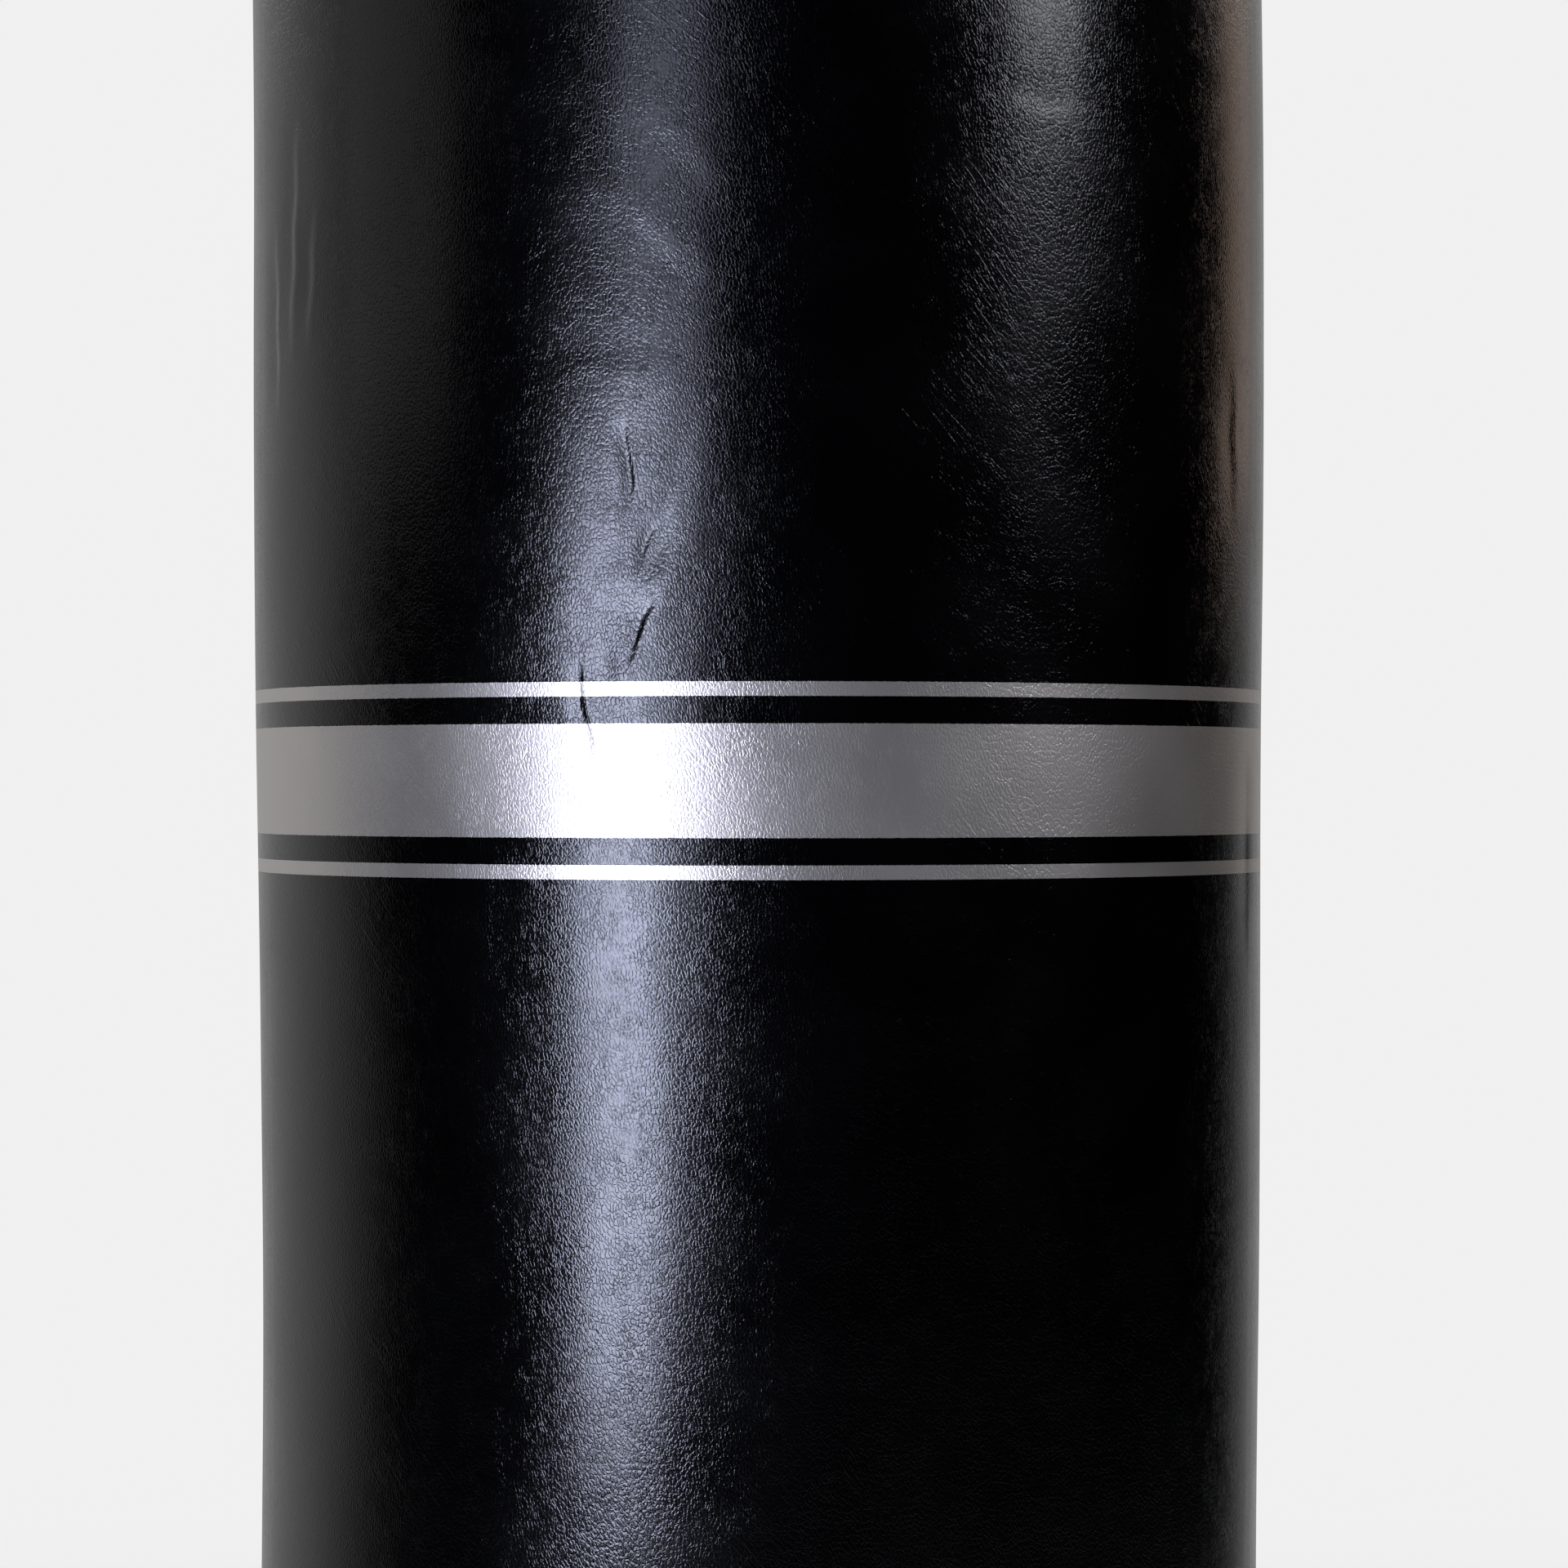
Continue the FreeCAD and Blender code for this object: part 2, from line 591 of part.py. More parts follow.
def cavity_floor(gap):
    """Corners of the cavity's floor, with the upright steps moved inwards by gap."""
    wall = "sizes.tank_wall"
    low = "(%s + %s)" % (Z_TANK, wall)
    return [
        ("%s + %s + %s" % (R_TUNNEL, wall, gap), "%s + %s" % (Z_RECESS, wall)),
        ("%s + %s + %s" % (FOOT_RECESS, wall, gap), "%s + %s" % (Z_RECESS, wall)),
        ("%s + %s + %s" % (FOOT_RECESS, wall, gap), low),
        ("%s - %s - %s" % (CHANNEL_IN, wall, gap), low),
        ("%s - %s - %s" % (CHANNEL_IN, wall, gap), "%s + %s" % (Z_CHANNEL, wall)),
        ("%s + %s + %s" % (CHANNEL_OUT, wall, gap), "%s + %s" % (Z_CHANNEL, wall)),
        ("%s + %s + %s" % (CHANNEL_OUT, wall, gap), low),
        ("%s - %s - %s" % (side_radius(low), wall, gap), low),
        ("sizes.tank_radius - %s - %s" % (wall, gap), "sizes.belly_high"),
    ]


def make_ballast_tank():
    body = new_body("ballast_tank")
    wall = "sizes.tank_wall"
    turned(
        body,
        "shell",
        [
            (R_TUNNEL, Z_RECESS),
            (FOOT_RECESS, Z_RECESS),
            (FOOT_RECESS, Z_TANK),
            (CHANNEL_IN, Z_TANK),
            (CHANNEL_IN, Z_CHANNEL),
            (CHANNEL_OUT, Z_CHANNEL),
            (CHANNEL_OUT, Z_TANK),
            ("sizes.plate_radius + sizes.plate_gap", Z_TANK),
            ("sizes.plate_radius + sizes.plate_gap", "sizes.rim_clear"),
            ("sizes.rim_radius", "sizes.rim_clear"),
            ("sizes.tank_radius", "sizes.belly_high"),
            ("sizes.shoulder_radius", "sizes.shoulder_high"),
            ("sizes.dome_radius", "sizes.dome_high"),
            ("sizes.neck_radius", Z_LAND),
            (R_TUNNEL, Z_LAND),
        ],
    )
    rounded(body, "shoulder", [("sizes.shoulder_radius", "sizes.shoulder_high")], "sizes.shoulder_round")
    rounded(body, "dome_foot", [("sizes.dome_radius", "sizes.dome_high")], "sizes.dome_round")
    rounded(body, "top_edge", [("sizes.neck_radius", Z_LAND)], "sizes.neck_round")
    rounded(body, "rim_edge", [("sizes.rim_radius", "sizes.rim_clear")], "sizes.rim_round")
    rounded(body, "belly", [("sizes.tank_radius", "sizes.belly_high")], "sizes.shoulder_round")

    low = "(%s + %s)" % (Z_TANK, wall)
    top = "(%s - sizes.land_thick)" % Z_LAND
    steep = "(sizes.dome_radius - sizes.neck_radius) / (%s - sizes.dome_high)" % Z_LAND
    turned_away(
        body,
        "cavity",
        cavity_floor("0")
        + [
            ("sizes.shoulder_radius - %s" % wall, "sizes.shoulder_high - %s / 2" % wall),
            ("sizes.dome_radius - %s / 2" % wall, "sizes.dome_high - %s" % wall),
            ("sizes.neck_radius + sizes.land_thick * %s - %s" % (steep, wall), top),
            ("%s + %s" % (R_TUNNEL, wall), top),
        ],
    )
    rounded(
        body,
        "inner_shoulder",
        [("sizes.shoulder_radius - %s" % wall, "sizes.shoulder_high - %s / 2" % wall)],
        "sizes.shoulder_round - %s" % wall,
    )
    pad_low = "sizes.pad_high - sizes.pad_deep"
    rod(body, "pad", "sizes.filler_ring", "sizes.pad_radius", pad_low, "sizes.pad_deep")
    mouth = "sizes.mouth_radius + sizes.mouth_wall + sizes.bolt_gap"
    deep = "sizes.pad_deep + 2 * sizes.tank_wall"
    bored(body, "neck_hole", "sizes.filler_ring", mouth, pad_low + " - sizes.tank_wall", deep)
    seat = "%s - sizes.insert_long" % Z_LAND
    hole = bored(body, "insert_hole", "sizes.seat_ring", "sizes.insert_radius", seat, "sizes.insert_long")
    ringed(body, "insert_holes", [hole], "sizes.seat_bolts")

    # Each dent is an ellipsoid that lies along the slope of the dome and dips into it.
    run = "(sizes.shoulder_radius - sizes.dome_radius)"
    rise = "(sizes.dome_high - sizes.shoulder_high)"
    slope = "atan(%s / %s)" % (rise, run)
    lift = "(sizes.dent_wide - sizes.dent_deep)"
    dent = body.newObject("PartDesign::SubtractiveEllipsoid", "dent")
    dent.AttachmentSupport = [(origin_feature(body, "XY_Plane"), "")]
    dent.MapMode = "FlatFace"
    dent.setExpression("Radius1", "sizes.dent_long")
    dent.setExpression("Radius2", "sizes.dent_wide")
    dent.setExpression("Radius3", "sizes.dent_wide")
    dent.AttachmentOffset = FreeCAD.Placement(
        FreeCAD.Vector(), FreeCAD.Rotation(FreeCAD.Vector(0, 1, 0), 90)
    )
    dent.setExpression("AttachmentOffset.Rotation.Angle", "90 + %s / 1 deg" % slope)
    dent.setExpression(
        "AttachmentOffset.Base.x",
        "(sizes.shoulder_radius + sizes.dome_radius) / 2 + %s * sin(%s)" % (lift, slope),
    )
    dent.setExpression(
        "AttachmentOffset.Base.z",
        "(sizes.shoulder_high + sizes.dome_high) / 2 + %s * cos(%s)" % (lift, slope),
    )
    ringed(body, "dents", [dent], "sizes.dent_count")


def make_sand_ballast():
    body = new_body("sand_ballast")
    gap = "sizes.sand_gap"
    top = "sizes.sand_high"
    inner = "%s + sizes.tank_wall + %s" % (R_TUNNEL, gap)
    outer = "%s - sizes.tank_wall - %s" % (upper_side_radius(top), gap)
    turned(body, "sand", cavity_floor(gap) + [(outer, top), (inner, top)])


def make_filler_neck():
    """A plastic bush set in the tank's pad, with a ridge that winds round its upper end."""
    outside = number("sizes.mouth_radius + sizes.mouth_wall")
    high = number("sizes.thread_high")
    pitch = number("sizes.thread_pitch")
    turns = number("sizes.thread_turns")
    deep = number("sizes.pad_deep")
    tall = deep + number("sizes.mouth_high")
    helix = Part.makeHelix(pitch, pitch * turns, outside)
    points = [(-0.5, -high), (high, -high / 3), (high, high / 3), (-0.5, high)]
    corners = [FreeCAD.Vector(outside + out, 0, up) for out, up in points]
    ridge = Part.Wire([helix]).makePipeShell([Part.makePolygon(corners + corners[:1])], True, True)
    ridge.translate(FreeCAD.Vector(0, 0, pitch))
    low = FreeCAD.Vector(0, 0, -deep)
    bush = Part.makeCylinder(outside, tall, low).fuse(ridge)
    neck = doc.addObject("Part::Feature", "filler_neck")
    neck.Label = "filler_neck"
    neck.Shape = bush.cut(Part.makeCylinder(number("sizes.mouth_radius"), tall, low))
    neck.Placement = FreeCAD.Placement(
        FreeCAD.Vector(number("sizes.filler_ring"), 0, number("sizes.pad_high")), FreeCAD.Rotation()
    )
    parts.append(neck)


CAP_BORE = "(sizes.mouth_radius + sizes.mouth_wall + sizes.thread_high + sizes.fit_gap)"
CAP_OUT = "(%s + sizes.cap_wall)" % CAP_BORE
Z_CAP_CEILING = "(sizes.mouth_high + sizes.gasket_thick + 2 * sizes.fit_gap)"


def stand_on_filler(piece):
    """The cap and its gasket are drawn about their own axis, from the top of the pad."""
    piece.setExpression("Placement.Base.x", "sizes.filler_ring")
    piece.setExpression("Placement.Base.z", "sizes.pad_high")


def make_filler_gasket():
    body = new_body("filler_gasket")
    low = "sizes.mouth_high + sizes.fit_gap"
    turned(
        body,
        "ring",
        [
            ("sizes.mouth_radius", low),
            ("sizes.mouth_radius + sizes.mouth_wall", low),
            ("sizes.mouth_radius + sizes.mouth_wall", low + " + sizes.gasket_thick"),
            ("sizes.mouth_radius", low + " + sizes.gasket_thick"),
        ],
    )
    stand_on_filler(body)


def make_filler_cap():
    body = new_body("filler_cap")
    top = "%s + sizes.cap_top" % Z_CAP_CEILING
    turned(
        body,
        "shell",
        [
            ("0", Z_CAP_CEILING),
            (CAP_BORE, Z_CAP_CEILING),
            (CAP_BORE, "sizes.fit_gap"),
            (CAP_OUT, "sizes.fit_gap"),
            (CAP_OUT, top),
            ("0", top),
        ],
    )
    rounded(body, "top_edge", [(CAP_OUT, top)], "sizes.cap_top / 2")
    sketch = new_sketch(body, "bar_outline", "XY_Plane", top)
    half = "sizes.cap_bar_wide / 2"
    reach = "%s - sizes.cap_top" % CAP_OUT
    draw_loop(
        sketch,
        [
            ("-(%s)" % reach, "-" + half),
            (reach, "-" + half),
            (reach, half),
            ("-(%s)" % reach, half),
        ],
    )
    padded(body, sketch, "bar", "sizes.cap_bar_high")
    scallop = drilled(body, "scallop", "%s + sizes.cap_grip * 0.7" % CAP_OUT, "sizes.cap_grip")
    ringed(body, "scallops", [scallop], "sizes.cap_grips")
    stand_on_filler(body)


# ---- spring seats, spring and buffer ----


def make_spring_seat(label, upper):
    """A flange with a wall round the end of the spring and a socket for the buffer's round end."""
    body = new_body(label)
    ball = "(sizes.buffer_radius + sizes.fit_gap)"
    boss = "(sizes.pivot_inset - sizes.socket_lip)"
    rod(body, "flange", "0", "sizes.seat_radius", "-sizes.seat_thick", "sizes.seat_thick")
    rod(body, "cup", "0", "%s + sizes.seat_cup_wall" % R_SEAT_CUP, "0", "sizes.seat_cup_high")
    bored(body, "cup_bore", "0", R_SEAT_CUP, "0", "sizes.seat_cup_high")
    rod(body, "boss", "0", "sizes.socket_radius", "0", boss)
    pocket = body.newObject("PartDesign::SubtractiveSphere", "ball_pocket")
    pocket.AttachmentSupport = [(origin_feature(body, "XY_Plane"), "")]
    pocket.MapMode = "FlatFace"
    pocket.setExpression("Radius", ball)
    pocket.setExpression("AttachmentOffset.Base.z", "sizes.pivot_inset")
    hole = drilled(body, "bolt_hole", "sizes.seat_ring", "sizes.bolt_radius + sizes.bolt_gap")
    ringed(body, "bolt_holes", [hole], "sizes.seat_bolts")
    sketch = new_sketch(body, "set_screw_outline", "YZ_Plane")
    draw_circle(sketch, "0", "sizes.wire_radius + sizes.fit_gap", "sizes.set_screw + sizes.thread_gap")
    tapped = pocketed(body, sketch, "set_screw_hole", "sizes.seat_radius", reverse=True)
    stop = new_sketch(body, "boss_outline", "XY_Plane", "0")
    draw_circle(stop, "0", "0", "sizes.socket_radius")
    ringed(body, "set_screw_holes", [tapped], "sizes.set_screws")
    refill = padded(body, stop, "boss_again", "2 * (sizes.wire_radius + sizes.fit_gap)")
    body.Tip = refill
    if not upper:
        floor = "sizes.cap_screw_floor - sizes.seat_thick"
        deep = "sizes.pivot_inset - (%s)" % floor
        bored(body, "screw_sink", "0", "sizes.cap_screw_head + sizes.bolt_gap", floor, deep)
        drilled(body, "screw_hole", "0", "sizes.cap_screw + sizes.bolt_gap")
    if upper:
        body.Placement = FreeCAD.Placement(
            FreeCAD.Vector(), FreeCAD.Rotation(FreeCAD.Vector(1, 0, 0), 180)
        )
    body.setExpression("Placement.Base.z", Z_CEILING if upper else Z_FLOOR)


def make_set_screws(label, height):
    body = new_body(label)
    sketch = new_sketch(body, "screw_outline", "YZ_Plane", R_SEAT_CUP)
    draw_circle(sketch, "0", "0", "sizes.set_screw")
    screw = padded(body, sketch, "screw", "sizes.seat_cup_wall + sizes.set_screw / 2")
    ringed(body, "screws", [screw], "sizes.set_screws")
    body.setExpression("Placement.Base.z", height)


def make_bolts(label, head_seat, shank_end, up):
    """Hexagon bolts on the seats' circle. up: the head is below and the shank runs up."""
    body = new_body(label)
    x = "sizes.seat_ring"
    if up:
        head_low, shank_low = "%s - sizes.bolt_head" % head_seat, head_seat
        shank_long = "%s - %s" % (shank_end, head_seat)
    else:
        head_low, shank_low = head_seat, shank_end
        shank_long = "%s - %s" % (head_seat, shank_end)
    head = hex_bar(body, "head", x, "sizes.bolt_across", head_low, "sizes.bolt_head")
    shank = rod(body, "shank", x, "sizes.bolt_radius", shank_low, shank_long)
    ringed(body, "bolts", [head, shank], "sizes.seat_bolts")


def make_washers(label, low):
    body = new_body(label)
    x = "sizes.seat_ring"
    disc = rod(body, "disc", x, "sizes.bolt_washer", low, "sizes.bolt_washer_thick")
    hole = drilled(body, "hole", x, "sizes.bolt_radius + sizes.bolt_gap")
    ringed(body, "washers", [disc, hole], "sizes.seat_bolts")


def make_lower_seat_fasteners():
    top = "(%s + sizes.bolt_washer_thick)" % Z_FLOOR
    make_washers("lower_seat_washers", Z_FLOOR)
    make_bolts("lower_seat_bolts", top, "(%s - sizes.bolt_reach)" % Z_LAND, up=False)
    inserts = new_body("tank_inserts")
    x = "sizes.seat_ring"
    low = "%s - sizes.insert_long" % Z_LAND
    bush = rod(inserts, "bush", x, "sizes.insert_radius", low, "sizes.insert_long")
    thread = bored(
        inserts,
        "thread",
        x,
        "sizes.bolt_radius + sizes.thread_gap",
        "%s - sizes.bolt_reach - sizes.bolt_gap" % Z_LAND,
        "sizes.bolt_reach + sizes.bolt_gap",
    )
    ringed(inserts, "bushes", [bush, thread], "sizes.seat_bolts")
    screw = new_body("seat_cap_screw")
    seat = "%s + sizes.cap_screw_floor" % Z_LAND
    rod(screw, "head", "0", "sizes.cap_screw_head", seat, "sizes.cap_screw_high")
    rod(screw, "shank", "0", "sizes.cap_screw", seat + " - sizes.cap_screw_long", "sizes.cap_screw_long")


def make_upper_seat_fasteners():
    head_seat = "(%s - sizes.bolt_washer_thick)" % Z_CEILING
    end = "(%s + sizes.bolt_nut + sizes.stud_tail)" % Z_PADDING
    make_washers("upper_seat_washers", head_seat)
    make_bolts("upper_seat_bolts", head_seat, end, up=True)
    nuts = new_body("upper_seat_nuts")
    x = "sizes.seat_ring"
    nut = hex_bar(nuts, "nut", x, "sizes.bolt_across", Z_PADDING, "sizes.bolt_nut")
    thread = drilled(nuts, "thread", x, "sizes.bolt_radius + sizes.thread_gap")
    ringed(nuts, "nuts", [nut, thread], "sizes.seat_bolts")


def make_coil_spring():
    """One wire wound with closed turns at both ends and an even pitch between them."""
    steps = 24
    wire = number("sizes.wire_radius")
    radius = number("sizes.coil_radius")
    closed = number("sizes.coil_closed")
    active = number("sizes.coil_active")
    closed_pitch = number("sizes.closed_pitch")
    turns = active + 2 * closed
    count = int(round(turns * steps))
    travel = number("sizes.coil_high") - 2 * wire
    # A turn's share of the free pitch grows smoothly from 0 in a closed turn to 1 in a working one.
    shares = []
    for i in range(count):
        turn = (i + 0.5) * turns / count
        inset = min(turn, turns - turn) - closed
        share = min(1.0, max(0.0, 0.5 + 2 * inset))
        shares.append(share * share * (3 - 2 * share))
    step = turns / count
    free_rise = (travel - closed_pitch * step * sum(1 - s for s in shares)) / (step * sum(shares))
    height = wire
    points = [FreeCAD.Vector(radius, 0, height)]
    for i, share in enumerate(shares, start=1):
        height += step * (share * free_rise + (1 - share) * closed_pitch)
        angle = 2 * math.pi * i * step
        points.append(FreeCAD.Vector(radius * math.cos(angle), radius * math.sin(angle), height))
    curve = Part.BSplineCurve()
    curve.interpolate(points)
    spine = Part.Wire([curve.toShape()])
    start = curve.tangent(curve.FirstParameter)[0]
    section = Part.Wire([Part.Circle(points[0], start, wire).toShape()])
    coil = doc.addObject("Part::Feature", "coil_spring")
    coil.Label = "coil_spring"
    coil.Shape = spine.makePipeShell([section], True, True)
    low = number("%s + sizes.fit_gap" % Z_FLOOR)
    coil.Placement = FreeCAD.Placement(FreeCAD.Vector(0, 0, low), FreeCAD.Rotation())
    parts.append(coil)


def make_buffer():
    """A rubber post with round ends, each centred on one of the neck's two pivots."""
    post = doc.addObject("Part::Cylinder", "buffer_post")
    post.setExpression("Radius", "sizes.buffer_radius")
    post.setExpression("Height", "%s - %s" % (Z_PIVOT_HIGH, Z_PIVOT_LOW))
    post.setExpression("Placement.Base.z", Z_PIVOT_LOW)
    ends = []
    for name, height in (("buffer_foot", Z_PIVOT_LOW), ("buffer_head", Z_PIVOT_HIGH)):
        ball = doc.addObject("Part::Sphere", name)
        ball.setExpression("Radius", "sizes.buffer_radius")
        ball.setExpression("Placement.Base.z", height)
        ends.append(ball)
    buffer = doc.addObject("Part::MultiFuse", "rubber_buffer")
    buffer.Label = "rubber_buffer"
    buffer.Shapes = [post] + ends
    buffer.Refine = True
    parts.append(buffer)


# ---- frame of the bag ----


def make_bag_plate():
    body = new_body("bag_plate")
    outside = "(sizes.tube_radius + sizes.fit_gap + sizes.socket_wall)"
    rod(body, "disc", "0", "sizes.bag_plate_radius", Z_BAG, "sizes.bag_plate_thick")
    rod(body, "socket", "0", outside, Z_PADDING, "sizes.socket_high")
    bored(body, "socket_bore", "0", "sizes.tube_radius + sizes.fit_gap", Z_PADDING, "sizes.socket_high")
    sketch = new_sketch(body, "gusset_outline", "XZ_Plane")
    inner = "%s - sizes.socket_wall / 2" % outside
    draw_loop(
        sketch,
        [
            (inner, Z_PADDING),
            (outside + " + sizes.gusset_reach", Z_PADDING),
            (outside, "%s + sizes.gusset_high" % Z_PADDING),
            (inner, "%s + sizes.gusset_high" % Z_PADDING),
        ],
    )
    gusset = padded(body, sketch, "gusset", "sizes.gusset_thick", middle=True)
    ringed(body, "gussets", [gusset], "sizes.gusset_count")
    hole = drilled(body, "bolt_hole", "sizes.seat_ring", "sizes.bolt_radius + sizes.bolt_gap")
    ringed(body, "bolt_holes", [hole], "sizes.seat_bolts")
    cross_drilled(body)


def cross_drilled(body):
    """The hole for the bolt across the socket and the tube, parallel to X."""
    sketch = new_sketch(body, "cross_outline", "YZ_Plane")
    draw_circle(sketch, "0", "%s + sizes.cross_high" % Z_PADDING, "sizes.bolt_radius + sizes.bolt_gap")
    pocketed(body, sketch, "cross_hole", middle=True)


def make_core_tube():
    body = new_body("core_tube")
    bore = "sizes.tube_radius - sizes.tube_wall"
    turned(
        body,
        "tube",
        [
            (bore, Z_PADDING),
            ("sizes.tube_radius", Z_PADDING),
            ("sizes.tube_radius", Z_PAD),
            (bore, Z_PAD),
        ],
    )
    cross_drilled(body)


def make_tube_plug():
    body = new_body("tube_plug")
    bore = "(sizes.tube_radius - sizes.tube_wall - sizes.fit_gap)"
    deep = "%s - 5 * sizes.plug_flange" % Z_PAD
    turned(
        body,
        "plug",
        [
            ("0", deep),
            (bore, deep),
            (bore, Z_PAD),
            ("sizes.tube_radius + sizes.plug_over", Z_PAD),
            ("sizes.tube_radius + sizes.plug_over", "%s + sizes.plug_flange" % Z_PAD),
            ("0", "%s + sizes.plug_flange" % Z_PAD),
        ],
    )


def make_cross_bolt():
    """A bolt parallel to X through the socket and the tube, and its nut."""
    outside = "(sizes.tube_radius + sizes.fit_gap + sizes.socket_wall)"
    height = "%s + sizes.cross_high" % Z_PADDING
    bolt = new_body("cross_bolt")
    sketch = new_sketch(bolt, "shank_outline", "YZ_Plane", "-" + outside)
    draw_circle(sketch, "0", height, "sizes.bolt_radius")
    shank_long = "2 * %s + sizes.bolt_nut + sizes.stud_tail" % outside
    padded(bolt, sketch, "shank", shank_long)
    sketch = new_sketch(bolt, "head_outline", "YZ_Plane", "-%s - sizes.bolt_head" % outside)
    draw_hexagon(sketch, "0", height, "sizes.bolt_across")
    padded(bolt, sketch, "head", "sizes.bolt_head")
    nut = new_body("cross_nut")
    sketch = new_sketch(nut, "nut_outline", "YZ_Plane", outside)
    draw_hexagon(sketch, "0", height, "sizes.bolt_across")
    padded(nut, sketch, "nut", "sizes.bolt_nut")
    sketch = new_sketch(nut, "thread_outline", "YZ_Plane")
    draw_circle(sketch, "0", height, "sizes.bolt_radius + sizes.thread_gap")
    pocketed(nut, sketch, "thread", middle=True)


# ---- padding and cover ----


def make_padding():
    core = new_body("inner_foam")
    bore = "sizes.tube_radius + sizes.fit_gap"
    recess = "sizes.foam_core_recess"
    step = "%s + sizes.recess_high" % Z_PADDING
    top = "%s - sizes.board_thick" % Z_PAD
    turned(
        core,
        "sleeve",
        [
            (recess, Z_PADDING),
            ("sizes.foam_core_radius", Z_PADDING),
            ("sizes.foam_core_radius", top),
            (bore, top),
            (bore, step),
            (recess, step),
        ],
    )
    outer = new_body("outer_foam")
    inside = "sizes.foam_core_radius + sizes.fit_gap"
    turned(
        outer,
        "sleeve",
        [
            (inside, Z_PADDING),
            (R_FOAM, Z_PADDING),
            (R_FOAM, Z_PAD),
            (inside, Z_PAD),
        ],
    )
    foam_round = "sizes.cover_round - sizes.cover_thick - sizes.bag_plate_thick + sizes.cover_slack"
    rounded(outer, "lower_edge", [(R_FOAM, Z_PADDING)], foam_round)

    board = new_body("top_board")
    turned(
        board,
        "disc",
        [
            (bore, top),
            ("sizes.board_radius", top),
            ("sizes.board_radius", Z_PAD),
            (bore, Z_PAD),
        ],
    )
    pad = new_body("top_pad")
    plug = "sizes.tube_radius + sizes.plug_over + sizes.fit_gap"
    plug_top = "%s + sizes.plug_flange + sizes.fit_gap" % Z_PAD
    pad_top = "%s - sizes.fit_gap" % Z_TOP
    turned(
        pad,
        "disc",
        [
            (plug, Z_PAD),
            (R_FOAM, Z_PAD),
            (R_FOAM, pad_top),
            ("0", "%s + sizes.dome_rise" % pad_top),
            ("0", plug_top),
            (plug, plug_top),
        ],
        domes=(2,),
    )


def make_bag_cover():
    body = new_body("bag_cover")
    hem_top = "(%s - sizes.fit_gap)" % Z_BAG
    hem_low = "(%s - sizes.cover_thick)" % hem_top
    turned(
        body,
        "skin",
        [
            ("sizes.hem_radius", hem_low),
            ("sizes.bag_radius", hem_low),
            ("sizes.bag_radius", Z_TOP),
            (R_COVER, Z_TOP),
            (R_COVER, hem_top),
            ("sizes.hem_radius", hem_top),
        ],
    )
    rounded(body, "outer_round", [("sizes.bag_radius", hem_low)], "sizes.cover_round")
    rounded(body, "inner_round", [(R_COVER, hem_top)], "sizes.cover_round - sizes.cover_thick")
    sketch = new_sketch(body, "slot_outline", "XZ_Plane")
    top = "%s + sizes.zip_long" % Z_ZIP
    draw_loop(
        sketch,
        [
            ("-sizes.slot_half", Z_ZIP),
            ("sizes.slot_half", Z_ZIP),
            ("sizes.slot_half", top),
            ("-sizes.slot_half", top),
        ],
    )
    pocketed(body, sketch, "zip_slot", "sizes.bag_radius")


def make_top_panel():
    body = new_body("top_panel")
    edge = "sizes.bag_radius - 2 * sizes.piping_radius"
    under = "(%s + sizes.cover_slack)" % Z_TOP
    over = "(%s + sizes.cover_thick)" % under
    turned(
        body,
        "disc",
        [
            (edge, under),
            (edge, over),
            ("0", over + " + sizes.dome_rise"),
            ("0", under + " + sizes.dome_rise"),
        ],
        domes=(1, 3),
    )
    piping = doc.addObject("Part::Torus", "top_piping")
    piping.Label = "top_piping"
    piping.setExpression("Radius1", "sizes.bag_radius - sizes.piping_radius + sizes.fit_gap")
    piping.setExpression("Radius2", "sizes.piping_radius - sizes.fit_gap")
    piping.setExpression("Placement.Base.z", "%s + sizes.piping_radius" % Z_TOP)
    parts.append(piping)


# ---- zip at the back ----

Y_TAPE = "(%s - sizes.tape_thick - sizes.fit_gap)" % R_COVER
Y_CHAIN = "(%s + sizes.tape_thick + sizes.fit_gap)" % Y_TAPE


def box(name, low, size):
    """A block from its low corner and its size, each three expressions."""
    block = doc.addObject("Part::Box", name)
    for axis, expression in zip("xyz", low):
        block.setExpression("Placement.Base.%s" % axis, expression)
    for side, expression in zip(("Length", "Width", "Height"), size):
        block.setExpression(side, expression)
    return block


def make_zip():
    tape = new_body("zip_tape")
    sketch = new_sketch(tape, "tape_outline", "YZ_Plane")
    low = "%s - 2 * sizes.stop_long" % Z_ZIP
    high = "%s + sizes.zip_long + 2 * sizes.stop_long" % Z_ZIP
    outer = "%s + sizes.tape_thick" % Y_TAPE
    draw_loop(sketch, [(Y_TAPE, low), (outer, low), (outer, high), (Y_TAPE, high)])
    strip = tape.newObject("PartDesign::Revolution", "strip")
    strip.Profile = sketch
    strip.ReferenceAxis = (sketch, ["V_Axis"])
    strip.Midplane = True
    strip.setExpression("Angle", "2 * asin(sizes.tape_half / (%s)) / 1 deg" % outer)

    chain = box(
        "zip_chain",
        ("-sizes.chain_half", Y_CHAIN, "%s + sizes.stop_long" % Z_ZIP),
        ("2 * sizes.chain_half", "sizes.chain_thick", "sizes.zip_long - 2 * sizes.stop_long"),
    )
    chain.Label = "zip_chain"
    parts.append(chain)

    ends = []
    for name, low in (("low_stop", Z_ZIP), ("high_stop", "%s + sizes.zip_long - sizes.stop_long" % Z_ZIP)):
        corner = ("-sizes.chain_half", Y_CHAIN, low)
        ends.append(box(name, corner, ("2 * sizes.chain_half", "sizes.chain_thick", "sizes.stop_long")))
    stops = doc.addObject("Part::Compound", "zip_stops")
    stops.Label = "zip_stops"
    stops.Links = ends
    parts.append(stops)


